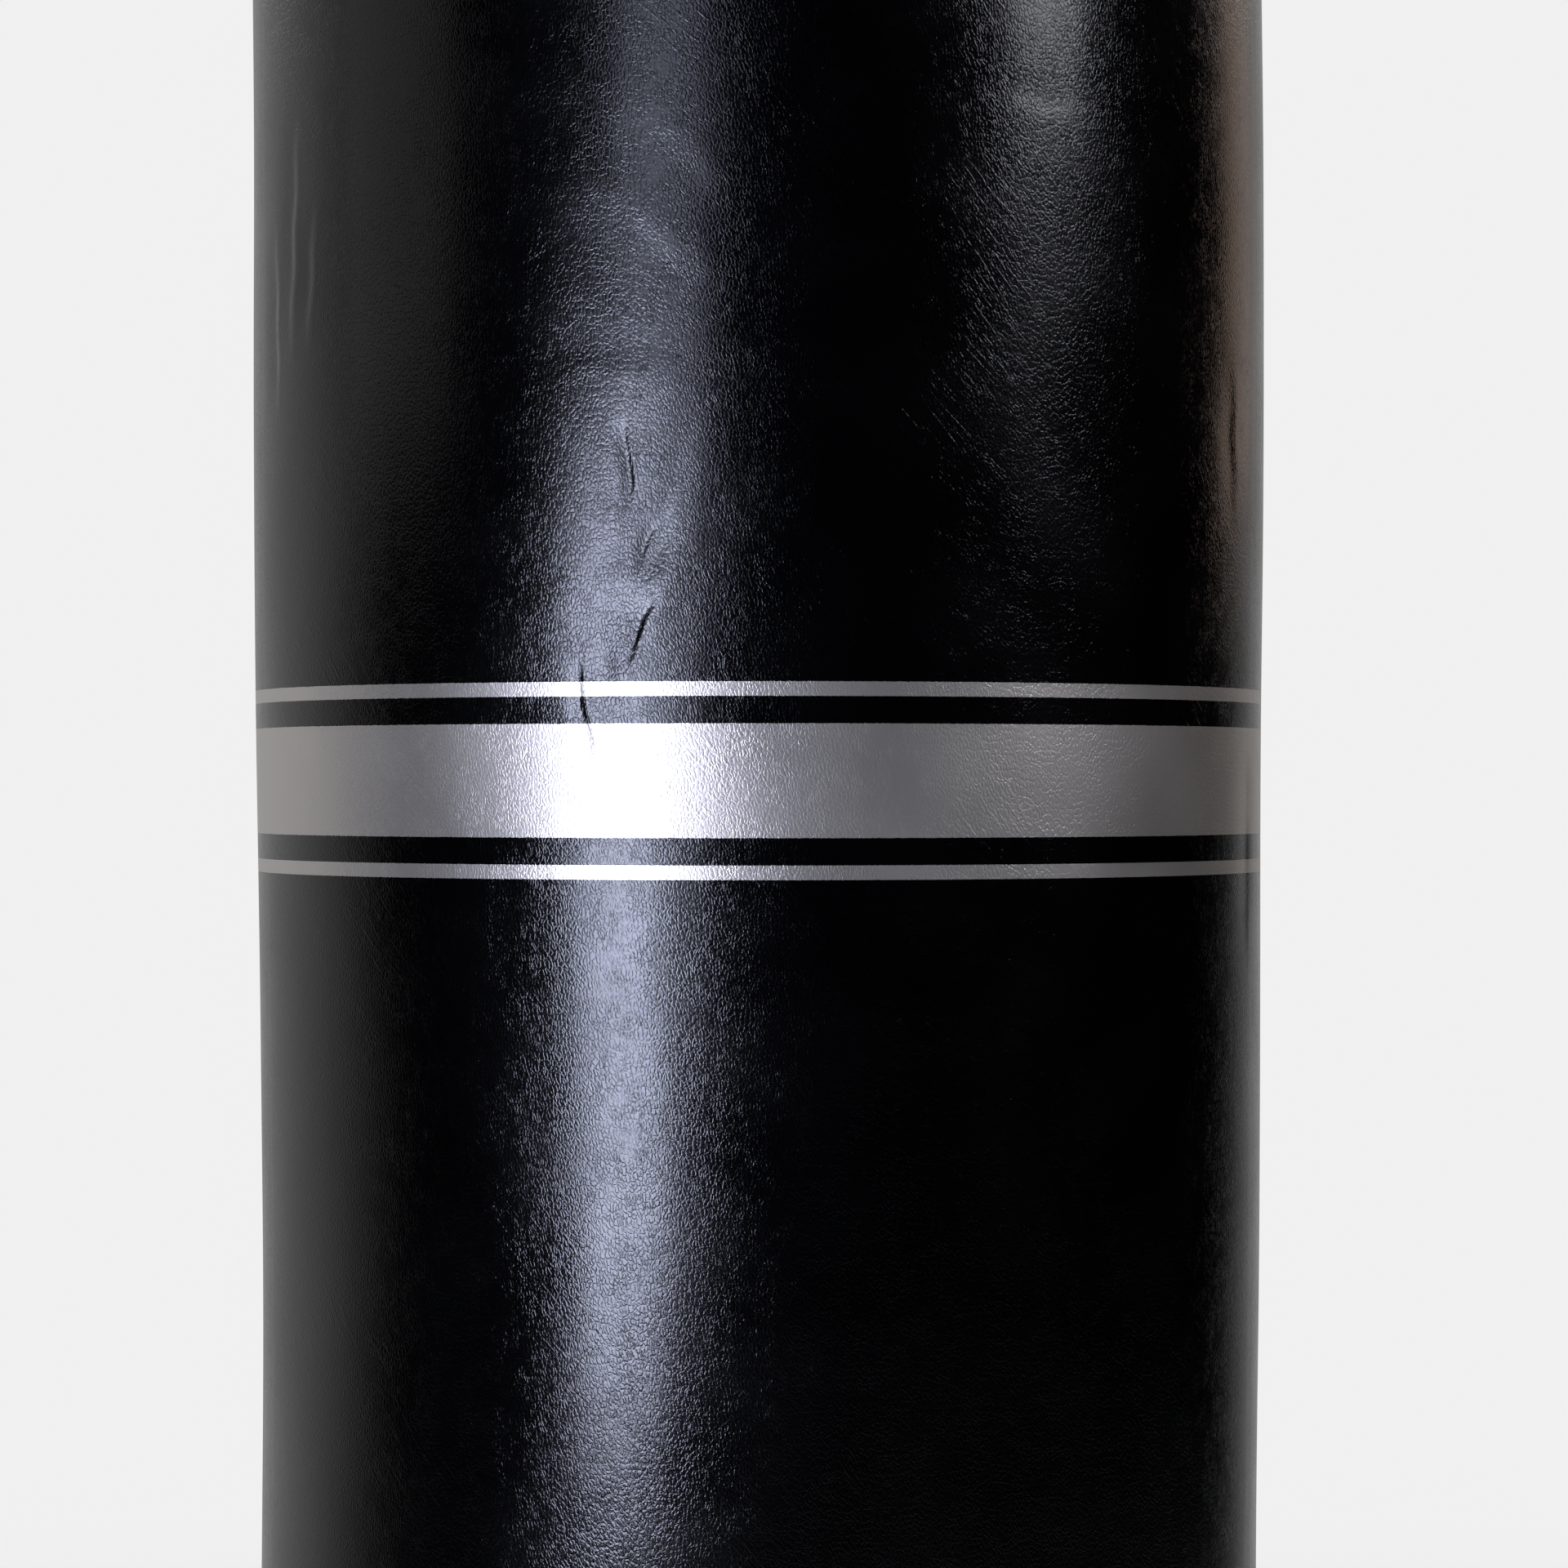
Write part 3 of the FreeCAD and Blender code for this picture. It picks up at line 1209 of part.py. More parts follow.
SLIDER_LOW = "(%s + sizes.stop_long)" % Z_ZIP
Y_SLIDER = "(%s + sizes.chain_thick + sizes.fit_gap)" % Y_CHAIN
Y_BRIDGE = "(%s + sizes.slider_plate)" % Y_SLIDER
Y_EYE = "(%s + sizes.bridge_high - 2 * sizes.eye_radius + sizes.eye_radius / 2)" % Y_BRIDGE
Z_EYE = "(%s + sizes.slider_long / 2)" % SLIDER_LOW


def make_zip_slider():
    plate = box(
        "slider_plate",
        ("-sizes.slider_half", Y_SLIDER, SLIDER_LOW),
        ("2 * sizes.slider_half", "sizes.slider_plate", "sizes.slider_long"),
    )
    flank = "sizes.slider_half - sizes.chain_half - sizes.fit_gap"
    deep = "sizes.chain_thick + sizes.fit_gap / 2"
    flanks = []
    for name, x in (("left_flank", "-sizes.slider_half"), ("right_flank", "sizes.chain_half + sizes.fit_gap")):
        corner = (x, "%s - (%s)" % (Y_SLIDER, deep), SLIDER_LOW)
        flanks.append(box(name, corner, (flank, deep, "sizes.slider_long")))
    bridge = box(
        "slider_bridge",
        ("-sizes.bridge_half", Y_BRIDGE, "%s - sizes.bridge_long / 2" % Z_EYE),
        ("2 * sizes.bridge_half", "sizes.bridge_high", "sizes.bridge_long"),
    )
    whole = doc.addObject("Part::MultiFuse", "slider_block")
    whole.Shapes = [plate] + flanks + [bridge]
    eye = doc.addObject("Part::Cylinder", "slider_eye")
    eye.setExpression("Radius", "sizes.eye_radius")
    eye.setExpression("Height", "2 * sizes.slider_half")
    eye.Placement = FreeCAD.Placement(FreeCAD.Vector(), FreeCAD.Rotation(FreeCAD.Vector(0, 1, 0), 90))
    eye.setExpression("Placement.Base.x", "-sizes.slider_half")
    eye.setExpression("Placement.Base.y", Y_EYE)
    eye.setExpression("Placement.Base.z", Z_EYE)
    slider = doc.addObject("Part::Cut", "zip_slider")
    slider.Label = "zip_slider"
    slider.Base = whole
    slider.Tool = eye
    parts.append(slider)


def make_zip_pull():
    """A flat pull that hangs from the slider's bridge by a round bar."""
    bar = doc.addObject("Part::Cylinder", "pull_bar")
    bar.setExpression("Radius", "sizes.pull_bar")
    bar.setExpression("Height", "2 * sizes.pull_half")
    bar.Placement = FreeCAD.Placement(FreeCAD.Vector(), FreeCAD.Rotation(FreeCAD.Vector(0, 1, 0), 90))
    bar.setExpression("Placement.Base.x", "-sizes.pull_half")
    bar.setExpression("Placement.Base.y", Y_EYE)
    bar.setExpression("Placement.Base.z", Z_EYE)
    inner = "(sizes.bridge_half + sizes.pull_gap)"
    leg_low = "%s - sizes.pull_window" % Z_EYE
    flat = "%s - sizes.pull_bar" % Y_EYE
    thick = "2 * sizes.pull_bar"
    pieces = [bar]
    for name, x in (("left_leg", "-sizes.pull_half"), ("right_leg", inner)):
        size = ("sizes.pull_half - %s" % inner, thick, "sizes.pull_window")
        pieces.append(box(name, (x, flat, leg_low), size))
    tab = box(
        "pull_tab",
        ("-sizes.pull_half", flat, "%s - sizes.pull_long" % Z_EYE),
        ("2 * sizes.pull_half", thick, "sizes.pull_long - sizes.pull_window"),
    )
    pull = doc.addObject("Part::MultiFuse", "zip_pull")
    pull.Label = "zip_pull"
    pull.Shapes = pieces + [tab]
    pull.Refine = True
    parts.append(pull)


# ---- build, check and write ----


def build():
    make_suction_cups()
    make_cup_fasteners()
    make_base_plate()
    make_centre_column()
    make_column_screws()
    make_ballast_tank()
    make_sand_ballast()
    make_filler_neck()
    make_filler_gasket()
    make_filler_cap()
    make_spring_seat("lower_spring_seat", upper=False)
    make_spring_seat("upper_spring_seat", upper=True)
    make_set_screws("lower_set_screws", "%s + sizes.wire_radius + sizes.fit_gap" % Z_FLOOR)
    make_set_screws("upper_set_screws", "%s - sizes.wire_radius - sizes.fit_gap" % Z_CEILING)
    make_lower_seat_fasteners()
    make_upper_seat_fasteners()
    make_coil_spring()
    make_buffer()
    make_bag_plate()
    make_core_tube()
    make_tube_plug()
    make_cross_bolt()
    make_padding()
    make_bag_cover()
    make_top_panel()
    make_zip()
    make_zip_slider()
    make_zip_pull()


def check():
    doc.recompute()
    for thing in doc.Objects:
        if "Invalid" in thing.State or "Error" in thing.State:
            raise ValueError("%s failed: %s" % (thing.Label, thing.State))
    for part in parts:
        if part.Shape.isNull() or not part.Shape.isValid() or part.Shape.Volume <= 0:
            raise ValueError("%s has no valid solid" % part.Label)


def write():
    os.makedirs("parts", exist_ok=True)
    for part in parts:
        part.Shape.exportStep(os.path.join("parts", part.Label + ".step"))
        print("%-20s %2d solids %10.0f mm3" % (part.Label, len(part.Shape.Solids), part.Shape.Volume))


build()
check()
write()
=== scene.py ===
import math

import bmesh
import bpy
import numpy as np
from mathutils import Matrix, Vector


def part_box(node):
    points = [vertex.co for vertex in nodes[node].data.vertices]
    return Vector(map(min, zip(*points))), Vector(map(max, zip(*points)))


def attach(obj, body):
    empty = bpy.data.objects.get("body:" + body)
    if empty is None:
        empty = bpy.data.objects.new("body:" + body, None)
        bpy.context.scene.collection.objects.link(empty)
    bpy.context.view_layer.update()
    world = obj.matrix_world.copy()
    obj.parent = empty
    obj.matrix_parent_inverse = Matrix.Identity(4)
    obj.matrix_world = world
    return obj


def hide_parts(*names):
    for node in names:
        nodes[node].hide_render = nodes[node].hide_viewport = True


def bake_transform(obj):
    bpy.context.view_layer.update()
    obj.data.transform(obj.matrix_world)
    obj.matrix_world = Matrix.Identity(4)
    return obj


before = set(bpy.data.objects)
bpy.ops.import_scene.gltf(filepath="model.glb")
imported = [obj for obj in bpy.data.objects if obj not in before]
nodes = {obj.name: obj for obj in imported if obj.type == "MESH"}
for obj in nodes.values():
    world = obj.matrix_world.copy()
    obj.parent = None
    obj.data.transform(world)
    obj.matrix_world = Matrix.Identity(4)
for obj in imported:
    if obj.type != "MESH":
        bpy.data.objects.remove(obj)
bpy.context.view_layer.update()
scene = bpy.context.scene
print("punching bag: frame loaded, %d nodes" % len(nodes))

mm = 0.001
coverLow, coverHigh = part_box("bag_cover")
pipingLow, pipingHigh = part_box("top_piping")
panelLow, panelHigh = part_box("top_panel")
chainLow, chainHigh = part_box("zip_chain")
stopLow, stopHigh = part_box("zip_stops")
springLow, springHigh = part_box("coil_spring")
bagRadius = coverHigh.x


def putIn(name, data):
    thing = bpy.data.objects.new(name, data)
    scene.collection.objects.link(thing)
    return thing


# camera, lights and room
camera = {
    "place": (0.0086, -1.53, 1.20),  # level with the upper half of the bag, in front of it
    "lens": 103.6,
}
cameraData = bpy.data.cameras.new("studioCamera")
cameraData.lens = camera["lens"]
cameraData.sensor_width = 36
cameraObject = putIn("studioCamera", cameraData)
cameraObject.location = camera["place"]
cameraObject.rotation_euler = (math.radians(90), 0, 0)
scene.camera = cameraObject
scene.view_settings.view_transform = "Standard"


def linear(hexColour):
    parts = [int(hexColour[i : i + 2], 16) / 255 for i in (1, 3, 5)]
    return [p / 12.92 if p <= 0.04045 else ((p + 0.055) / 1.055) ** 2.4 for p in parts] + [1.0]


def setInputs(tree, node, **inputs):
    # an input is a value, another node, which stands for its first output, or a socket
    # its name is the socket's with _ for a space, or in1 for number 1
    for key, value in inputs.items():
        index = int(key[2:]) if key[:2] == "in" and key[2:].isdigit() else key.replace("_", " ")
        if isinstance(value, bpy.types.Node):
            value = value.outputs[0]
        if isinstance(value, bpy.types.NodeSocket):
            tree.links.new(value, node.inputs[index])
        else:
            node.inputs[index].default_value = value


def addNode(tree, kind, settings=None, **inputs):
    node = tree.nodes.new(kind)
    for key, value in (settings or {}).items():
        setattr(node, key, value)
    setInputs(tree, node, **inputs)
    return node


# settings that several nodes share
multiply = {"operation": "MULTIPLY"}
multiplyAdd = {"operation": "MULTIPLY_ADD"}
subtract = {"operation": "SUBTRACT"}
absolute = {"operation": "ABSOLUTE"}
lessThan = {"operation": "LESS_THAN"}
maximum = {"operation": "MAXIMUM"}
dotProduct = {"operation": "DOT_PRODUCT"}
divide = {"operation": "DIVIDE"}
mixColours = {"data_type": "RGBA"}
byLength = {"mode": "LENGTH"}


def calc(tree, operation, *values):
    inputs = {"in%d" % i: value for i, value in enumerate(values)}
    return addNode(tree, "ShaderNodeMath", operation, **inputs)


def ranged(tree, value, span, becomes=(0.0, 1.0), settings=None):
    return addNode(
        tree, "ShaderNodeMapRange", settings, Value=value, From_Min=span[0], From_Max=span[1],
        To_Min=becomes[0], To_Max=becomes[1],
    )


def eased(*given):
    return ranged(*given, settings={"interpolation_type": "SMOOTHSTEP"})


def raised(tree, height, metres, strength=1.0, **under):
    inputs = dict(Height=height, Distance=metres, Strength=strength, **under)
    return addNode(tree, "ShaderNodeBump", **inputs)

softboxes = {
    # name: degrees from the front toward +X, distance, height, width, tall, watts, tint
    "key": (-29.6, 1.75, 1.075, 0.50, 0.60, 16.2, "#dce2ff"),
    "keyEdge": (-20, 1.8, 1.46, 0.50, 0.84, 3.5, "#dce2ff"),
    "high": (64.5, 1.8, 2.06, 0.58, 0.80, 9.3, "#f2f3ff"),
    "leftHigh": (-84, 2.0, 1.9, 1.1, 0.9, 1.0, "#ffffff"),
    "rightWarm": (134, 2.4, 1.9, 0.7, 1.0, 1.2, "#ffd9c4"),
    "rearLeft": (-140, 2.6, 2.6, 1.6, 1.2, 6, "#ffffff"),
    "rearRight": (140, 2.6, 2.6, 1.6, 1.2, 6, "#ffffff"),
    "rearStreak": (177, 1.8, 1.15, 0.34, 1.1, 8, "#e9edff"),
    "overhead": (180, 0.5, 3.3, 1.4, 1.2, 16, "#ffffff"),
}
for name, (turn, distance, height, width, tall, watts, tint) in softboxes.items():
    data = bpy.data.lights.new(name, "AREA")
    data.shape = "RECTANGLE"
    data.size = width
    data.size_y = tall
    data.energy = watts
    data.color = linear(tint)[:3]
    lamp = putIn(name, data)
    side = math.radians(turn)
    lamp.location = (distance * math.sin(side), -distance * math.cos(side), height)
    aim = Vector((0, 0, min(height, 1.3))) - lamp.location
    lamp.rotation_euler = aim.to_track_quat("-Z", "Y").to_euler()
    lamp.visible_camera = False

room = {
    "backdrop": "#f0f0f0",
    "brightWay": (-0.342, 0.94, 0.0),  # the white wall is behind the bag, more to the left
    "bright": (0.30, 0.80),
    "wall": (0.0, 0.42),
    "above": (0.30, 0.75),
    "ceiling": (0.0, 0.34),
}
world = bpy.data.worlds.new("studioRoom")
scene.world = world
world.use_nodes = True
tree = world.node_tree
tree.nodes.clear()
way = addNode(tree, "ShaderNodeTexCoord").outputs["Generated"]
behind = addNode(tree, "ShaderNodeVectorMath", dotProduct, in0=way, in1=room["brightWay"])
wall = eased(tree, behind.outputs["Value"], room["bright"], room["wall"])
upward = addNode(tree, "ShaderNodeSeparateXYZ", Vector=way)
ceiling = eased(tree, upward.outputs["Z"], room["above"], room["ceiling"])
level = calc(tree, maximum, wall, ceiling)
seen = addNode(tree, "ShaderNodeLightPath").outputs["Is Camera Ray"]
glow = addNode(tree, "ShaderNodeBackground", Color=(1, 1, 1, 1), Strength=level)
plain = addNode(tree, "ShaderNodeBackground", Color=linear(room["backdrop"]))
both = addNode(tree, "ShaderNodeMixShader", in0=seen, in1=glow, in2=plain)
addNode(tree, "ShaderNodeOutputWorld", Surface=both)


def newMesh(name, points, faces, uvs=None, soft=True):
    mesh = bpy.data.meshes.new(name)
    mesh.from_pydata([tuple(p) for p in points], [], faces)
    if uvs is not None:
        layer = mesh.uv_layers.new(name="surface")
        index = np.zeros(len(mesh.loops), dtype=np.int32)
        mesh.loops.foreach_get("vertex_index", index)
        layer.data.foreach_set("uv", np.asarray(uvs, dtype=np.float32)[index].ravel())
    mesh.polygons.foreach_set("use_smooth", [soft] * len(mesh.polygons))
    return putIn(name, mesh)


def facesOutward(mesh):
    bm = bmesh.new()
    bm.from_mesh(mesh)
    bmesh.ops.recalc_face_normals(bm, faces=bm.faces)
    bm.to_mesh(mesh)
    bm.free()


def ringFaces(rings, sides, turned=False, closed=False):
    # quads between each ring of points and the next, and back to the first where closed
    faces = []
    for r in range(rings if closed else rings - 1):
        here, ahead = r * sides, (r + 1) % rings * sides
        for k in range(sides):
            after = (k + 1) % sides
            quad = (here + k, here + after, ahead + after, ahead + k)
            faces.append((quad[0],) + quad[:0:-1] if turned else quad)
    return faces


# materials, one function for each family of finish
finishes = {}
noiseSpan = (0.3, 0.7)  # a noise texture seldom leaves this range
wear = {
    # handling leaves some places a little shinier than others
    "patches": 14.0,  # in a metre
    "shinier": 0.06,
    "duller": 0.08,
}
marks = {
    "along": 0.12,  # the marks of drawing and turning are long in Z
    "clouds": 60.0,  # in a metre
    "share": 0.6,
    "span": (0.5, 1.1),
    "shinier": 0.08,
    "duller": 0.12,
    "rise": 0.00004,
    "strength": 0.5,
}


def newMaterial(name, **sockets):
    material = bpy.data.materials.new(name)
    material.use_nodes = True
    tree = material.node_tree
    tree.nodes.clear()
    shader = addNode(tree, "ShaderNodeBsdfPrincipled", **sockets)
    addNode(tree, "ShaderNodeOutputMaterial", Surface=shader)
    finishes[name] = material
    return tree, shader


def moulded(name, hexColour, rough, pebble, depth, **sockets):
    # a plain surface with an all-over texture: pebble is its size, depth its height, in metres
    tree, shader = newMaterial(name, Base_Color=linear(hexColour), Roughness=rough, **sockets)
    place = addNode(tree, "ShaderNodeTexCoord").outputs["Object"]
    pebbles = addNode(tree, "ShaderNodeTexNoise", Vector=place, Scale=1 / pebble, Detail=3.0)
    patches = addNode(tree, "ShaderNodeTexNoise", Vector=place, Scale=wear["patches"], Detail=2.0)
    bump = raised(tree, pebbles.outputs["Fac"], depth)
    setInputs(tree, shader, Normal=bump)
    worn = (rough - wear["shinier"], rough + wear["duller"])
    spread = ranged(tree, patches.outputs["Fac"], noiseSpan, worn)
    setInputs(tree, shader, Roughness=spread)


def metal(name, hexColour, rough, scratch):
    # fine marks of making and handling, scratch is their spacing in metres
    tree, shader = newMaterial(name, Base_Color=linear(hexColour), Metallic=1.0, Roughness=rough)
    place = addNode(tree, "ShaderNodeTexCoord").outputs["Object"]
    drawn = addNode(tree, "ShaderNodeMapping", Vector=place, Scale=(1.0, 1.0, marks["along"]))
    fine = addNode(tree, "ShaderNodeTexNoise", Vector=drawn, Scale=1 / scratch, Detail=4.0)
    cloudy = addNode(tree, "ShaderNodeTexNoise", Vector=place, Scale=marks["clouds"], Detail=2.0)
    mixed = calc(tree, multiplyAdd, fine.outputs["Fac"], marks["share"], cloudy.outputs["Fac"])
    worn = (rough - marks["shinier"], rough + marks["duller"])
    spread = ranged(tree, mixed, marks["span"], worn)
    setInputs(tree, shader, Roughness=spread)
    bump = raised(tree, fine.outputs["Fac"], marks["rise"], strength=marks["strength"])
    setInputs(tree, shader, Normal=bump)


fabric = {
    "black": "#020203",
    "foil": "#d2cdc6",
    "foilMetal": 0.86,  # worn, so not quite all metal
    "foilDull": 0.2,  # added to the roughness
    "foilEdge": 0.00035,  # the foil stops raggedly on the grain
    "gloss": (0.14, 0.18),  # roughness, in the glossiest places and in the dullest
    "patch": 0.009,  # size of the calm and the strong patches of grain
    "bundle": 0.05,  # size of a patch of hairline wrinkles
    "swell": 1 / 30,  # the backing cloth shows through as slow swells
    "swellRise": 0.00012,
}
band = {
    "middle": 1.201,  # height of the silver band's middle
    "half": 0.0175,  # half its width
    "lineGap": 0.0105,  # band's edge to the middle of the thin line beside it
    "lineHalf": 0.0022,  # half a thin line's width
}
grain = {
    # the embossing leaves small flat-topped cells with a narrow valley round each
    "cell": (0.00112, 0.0020),  # across and along the fabric
    "lean": 0.16,  # sideways for each step up
    "wander": 0.004,  # size of the bends in a row of cells
    "wanderBy": 1.3,  # how far they go, in cells
    "ragged": 0.0009,  # the same for a cell's own edge
    "raggedBy": 0.55,
    "valley": 0.30,  # share of a cell
    "strength": (0.6, 1.0),  # in the calm patches the valleys are shallower
    "fleck": 0.45,
    "deep": 0.000031,
    # bundles of hairline wrinkles, where the cover was folded in its box
    "hair": (0.0015, 0.016),  # across and along a wrinkle
    "hairLean": 0.72,  # radians
    "hairBend": 0.006,
    "hairRise": 0.000022,
    # where each noise starts to show and where it shows in full
    "patchShows": (0.32, 0.62),
    "hairShows": (0.60, 0.70),
    "bundleShows": (0.52, 0.66),
}


def flatNoise(tree, flat, size, detail=1.0):
    settings = {"noise_dimensions": "2D"}
    return addNode(
        tree, "ShaderNodeTexNoise", settings, Vector=flat, Scale=1 / size, Detail=detail
    )


def coatedFabric(name, printed):
    # PU coated polyester, calendered and embossed with a fine cell grain:
    # near black, with a glint on the shoulder of every cell
    tree, shader = newMaterial(name, IOR=1.5)
    # the map is in metres along and up the fabric
    flat = addNode(tree, "ShaderNodeUVMap", {"uv_map": "surface"}).outputs[0]
    cellWide, cellLong = grain["cell"]
    across = addNode(
        tree, "ShaderNodeVectorMath", dotProduct, in0=flat,
        in1=(1 / cellWide, grain["lean"] / cellWide, 0),
    )
    along = addNode(tree, "ShaderNodeVectorMath", dotProduct, in0=flat, in1=(0, 1 / cellLong, 0))
    leaning = addNode(
        tree, "ShaderNodeCombineXYZ", X=across.outputs["Value"], Y=along.outputs["Value"]
    )
    wander = flatNoise(tree, flat, grain["wander"])
    bent = addNode(
        tree, "ShaderNodeVectorMath", multiplyAdd, in0=wander.outputs["Color"],
        in1=(grain["wanderBy"], grain["wanderBy"], 0), in2=leaning,
    )
    lines = flatNoise(tree, flat, grain["ragged"])
    torn = addNode(
        tree, "ShaderNodeVectorMath", multiplyAdd, in0=lines.outputs["Color"],
        in1=(grain["raggedBy"], grain["raggedBy"], 0), in2=bent,
    )
    cells = addNode(
        tree, "ShaderNodeTexVoronoi", {"voronoi_dimensions": "2D", "feature": "DISTANCE_TO_EDGE"},
        Vector=torn, Scale=1.0,
    )
    top = eased(tree, cells.outputs["Distance"], (0.0, grain["valley"]))
    patch = flatNoise(tree, flat, fabric["patch"], detail=2.0)
    strong = ranged(tree, patch.outputs["Fac"], grain["patchShows"], grain["strength"])
    rib = calc(tree, multiply, top, strong)
    height = calc(tree, multiplyAdd, lines.outputs["Fac"], grain["fleck"], rib)
    bump = raised(tree, height, grain["deep"])
    bundle = flatNoise(tree, flat, fabric["bundle"])
    curved = addNode(
        tree, "ShaderNodeVectorMath", multiplyAdd, in0=bundle.outputs["Color"],
        in1=(grain["hairBend"], grain["hairBend"], 0), in2=flat,
    )
    turned = addNode(
        tree, "ShaderNodeMapping", {"vector_type": "TEXTURE"}, Vector=curved,
        Rotation=(0, 0, grain["hairLean"]),
    )
    drawn = addNode(
        tree, "ShaderNodeVectorMath", multiply, in0=turned,
        in1=(1 / grain["hair"][0], 1 / grain["hair"][1], 0),
    )
    hair = flatNoise(tree, drawn, 1.0)
    ridge = eased(tree, hair.outputs["Fac"], grain["hairShows"])
    here = eased(tree, bundle.outputs["Fac"], grain["bundleShows"])
    wrinkle = calc(tree, multiply, ridge, here)
    wrinkled = raised(tree, wrinkle, grain["hairRise"], Normal=bump)
    soft = flatNoise(tree, flat, fabric["swell"], detail=0.0)
    swell = raised(tree, soft.outputs["Fac"], fabric["swellRise"], Normal=wrinkled)
    setInputs(tree, shader, Normal=swell)
    gloss = ranged(tree, soft.outputs["Fac"], noiseSpan, fabric["gloss"])
    if not printed:
        setInputs(tree, shader, Base_Color=linear(fabric["black"]), Roughness=gloss)
        return
    # a silver transfer foil is pressed on in one broad band with a thin line above and below it
    up = addNode(tree, "ShaderNodeSeparateXYZ", Vector=flat).outputs["Y"]
    offset = calc(tree, subtract, up, band["middle"])
    off = calc(tree, absolute, offset)
    ragged = calc(tree, multiplyAdd, lines.outputs["Fac"], fabric["foilEdge"], off)
    broad = calc(tree, lessThan, ragged, band["half"])
    beside = calc(tree, subtract, ragged, band["half"] + band["lineGap"])
    near = calc(tree, absolute, beside)
    thin = calc(tree, lessThan, near, band["lineHalf"])
    foil = calc(tree, maximum, broad, thin)
    leaf = calc(tree, multiply, foil, fabric["foilMetal"])
    setInputs(tree, shader, Metallic=leaf)
    colour = addNode(
        tree, "ShaderNodeMix", mixColours, in0=foil, in6=linear(fabric["black"]),
        in7=linear(fabric["foil"]),
    )
    setInputs(tree, shader, Base_Color=colour.outputs[2])
    dull = calc(tree, multiplyAdd, foil, fabric["foilDull"], gloss)
    setInputs(tree, shader, Roughness=dull)


coatedFabric("coatedFabricPrinted", True)
coatedFabric("coatedFabricPlain", False)
# rotationally moulded polyethylene: waxy, with the pebble of a blasted mould, drawn 2 mm coarse
# to show, as the textures after it are; the numbers are roughness, texture size and its height
moulded("rotomouldedPolyethylene", "#1b1c1d", 0.46, 0.002, 0.00012)
moulded("injectedPolypropylene", "#161617", 0.38, 0.0012, 0.00004)  # from a steel mould: smoother
moulded("nitrileRubber", "#181818", 0.55, 0.0015, 0.00005)  # press moulded: dull, hardly a glint
moulded("polyurethaneBuffer", "#3b2f1f", 0.42, 0.003, 0.00006)  # cast: amber brown, faintly glossy
moulded("powderCoatedSteel", "#141415", 0.36, 0.0016, 0.00006)  # the orange peel of baked powder
moulded("springEnamel", "#121315", 0.26, 0.004, 0.00006)  # thick gloss enamel, dipped
moulded("openCellFoam", "#cfc8b4", 0.95, 0.0018, 0.0006)  # cut from a block: matt, open pores
moulded("firmFoam", "#6f7378", 0.9, 0.0012, 0.0003)  # bonded from crumbs: grey, matt, closer grain
moulded("drySand", "#b99d73", 0.95, 0.0008, 0.0005)  # loose sieved grains: matt and rough
moulded("zipNylon", "#131314", 0.34, 0.0008, 0.00002)  # drawn monofilament, glossier than the tape
metal("zincPlatedSteel", "#b9bdc2", 0.3, 0.0009)  # bright zinc, faintly blue
metal("galvanisedSteel", "#a9adb0", 0.42, 0.0014)  # hot dipped: duller and greyer than plating
metal("blackOxideSteel", "#2a2a2d", 0.36, 0.0009)  # oiled conversion coat: a dark satin
metal("turnedBrass", "#c59a4e", 0.3, 0.0008)  # turned from bar: warm yellow with fine rings
metal("gunmetalPlating", "#4a4b50", 0.26, 0.0008)  # barrel plated on zinc castings: dark and bright


tape = {"rib": 0.0006, "pick": 0.0008, "rise": 0.0002}


def wovenTape():
    # polyester zip tape, woven as a matt herringbone: its real ribs are 0.6 mm apart and its
    # picks 0.8 mm, drawn 2 pi times as coarse to show
    black = linear("#141415")
    tree, shader = newMaterial("wovenZipTape", Roughness=0.82, Base_Color=black, Sheen_Weight=0.25)
    place = addNode(tree, "ShaderNodeTexCoord").outputs["Object"]
    ribs = addNode(
        tree, "ShaderNodeTexWave", {"wave_type": "BANDS", "bands_direction": "X"}, Vector=place,
        Scale=1 / tape["rib"] / 20, Distortion=1.5, Detail=2.0,
    )
    picks = addNode(
        tree, "ShaderNodeTexWave", {"wave_type": "BANDS", "bands_direction": "Z"}, Vector=place,
        Scale=1 / tape["pick"] / 20, Distortion=1.0,
    )
    weave = calc(tree, multiply, ribs.outputs["Fac"], picks.outputs["Fac"])
    bump = addNode(tree, "ShaderNodeBump", Height=weave, Distance=tape["rise"])
    setInputs(tree, shader, Normal=bump)


wovenTape()


def plywood():
    # rotary cut birch ply, sanded and left bare: pale, matt, with stretched brown figure
    tree, shader = newMaterial("birchPlywood", Roughness=0.6)
    place = addNode(tree, "ShaderNodeTexCoord").outputs["Object"]
    run = addNode(tree, "ShaderNodeMapping", Vector=place, Scale=(1.0, 14.0, 60.0))
    figure = addNode(tree, "ShaderNodeTexNoise", Vector=run, Scale=12.0, Detail=5.0, Distortion=0.6)
    colour = addNode(
        tree, "ShaderNodeMix", mixColours, in0=figure.outputs["Fac"], in6=linear("#a97c4b"),
        in7=linear("#d5b489"),
    )
    setInputs(tree, shader, Base_Color=colour.outputs[2])


plywood()

# polyester thread, spun and bonded: black with a slight sheen
moulded("polyesterThread", "#1c1c1d", 0.5, 0.0007, 0.00008, Sheen_Weight=0.2)

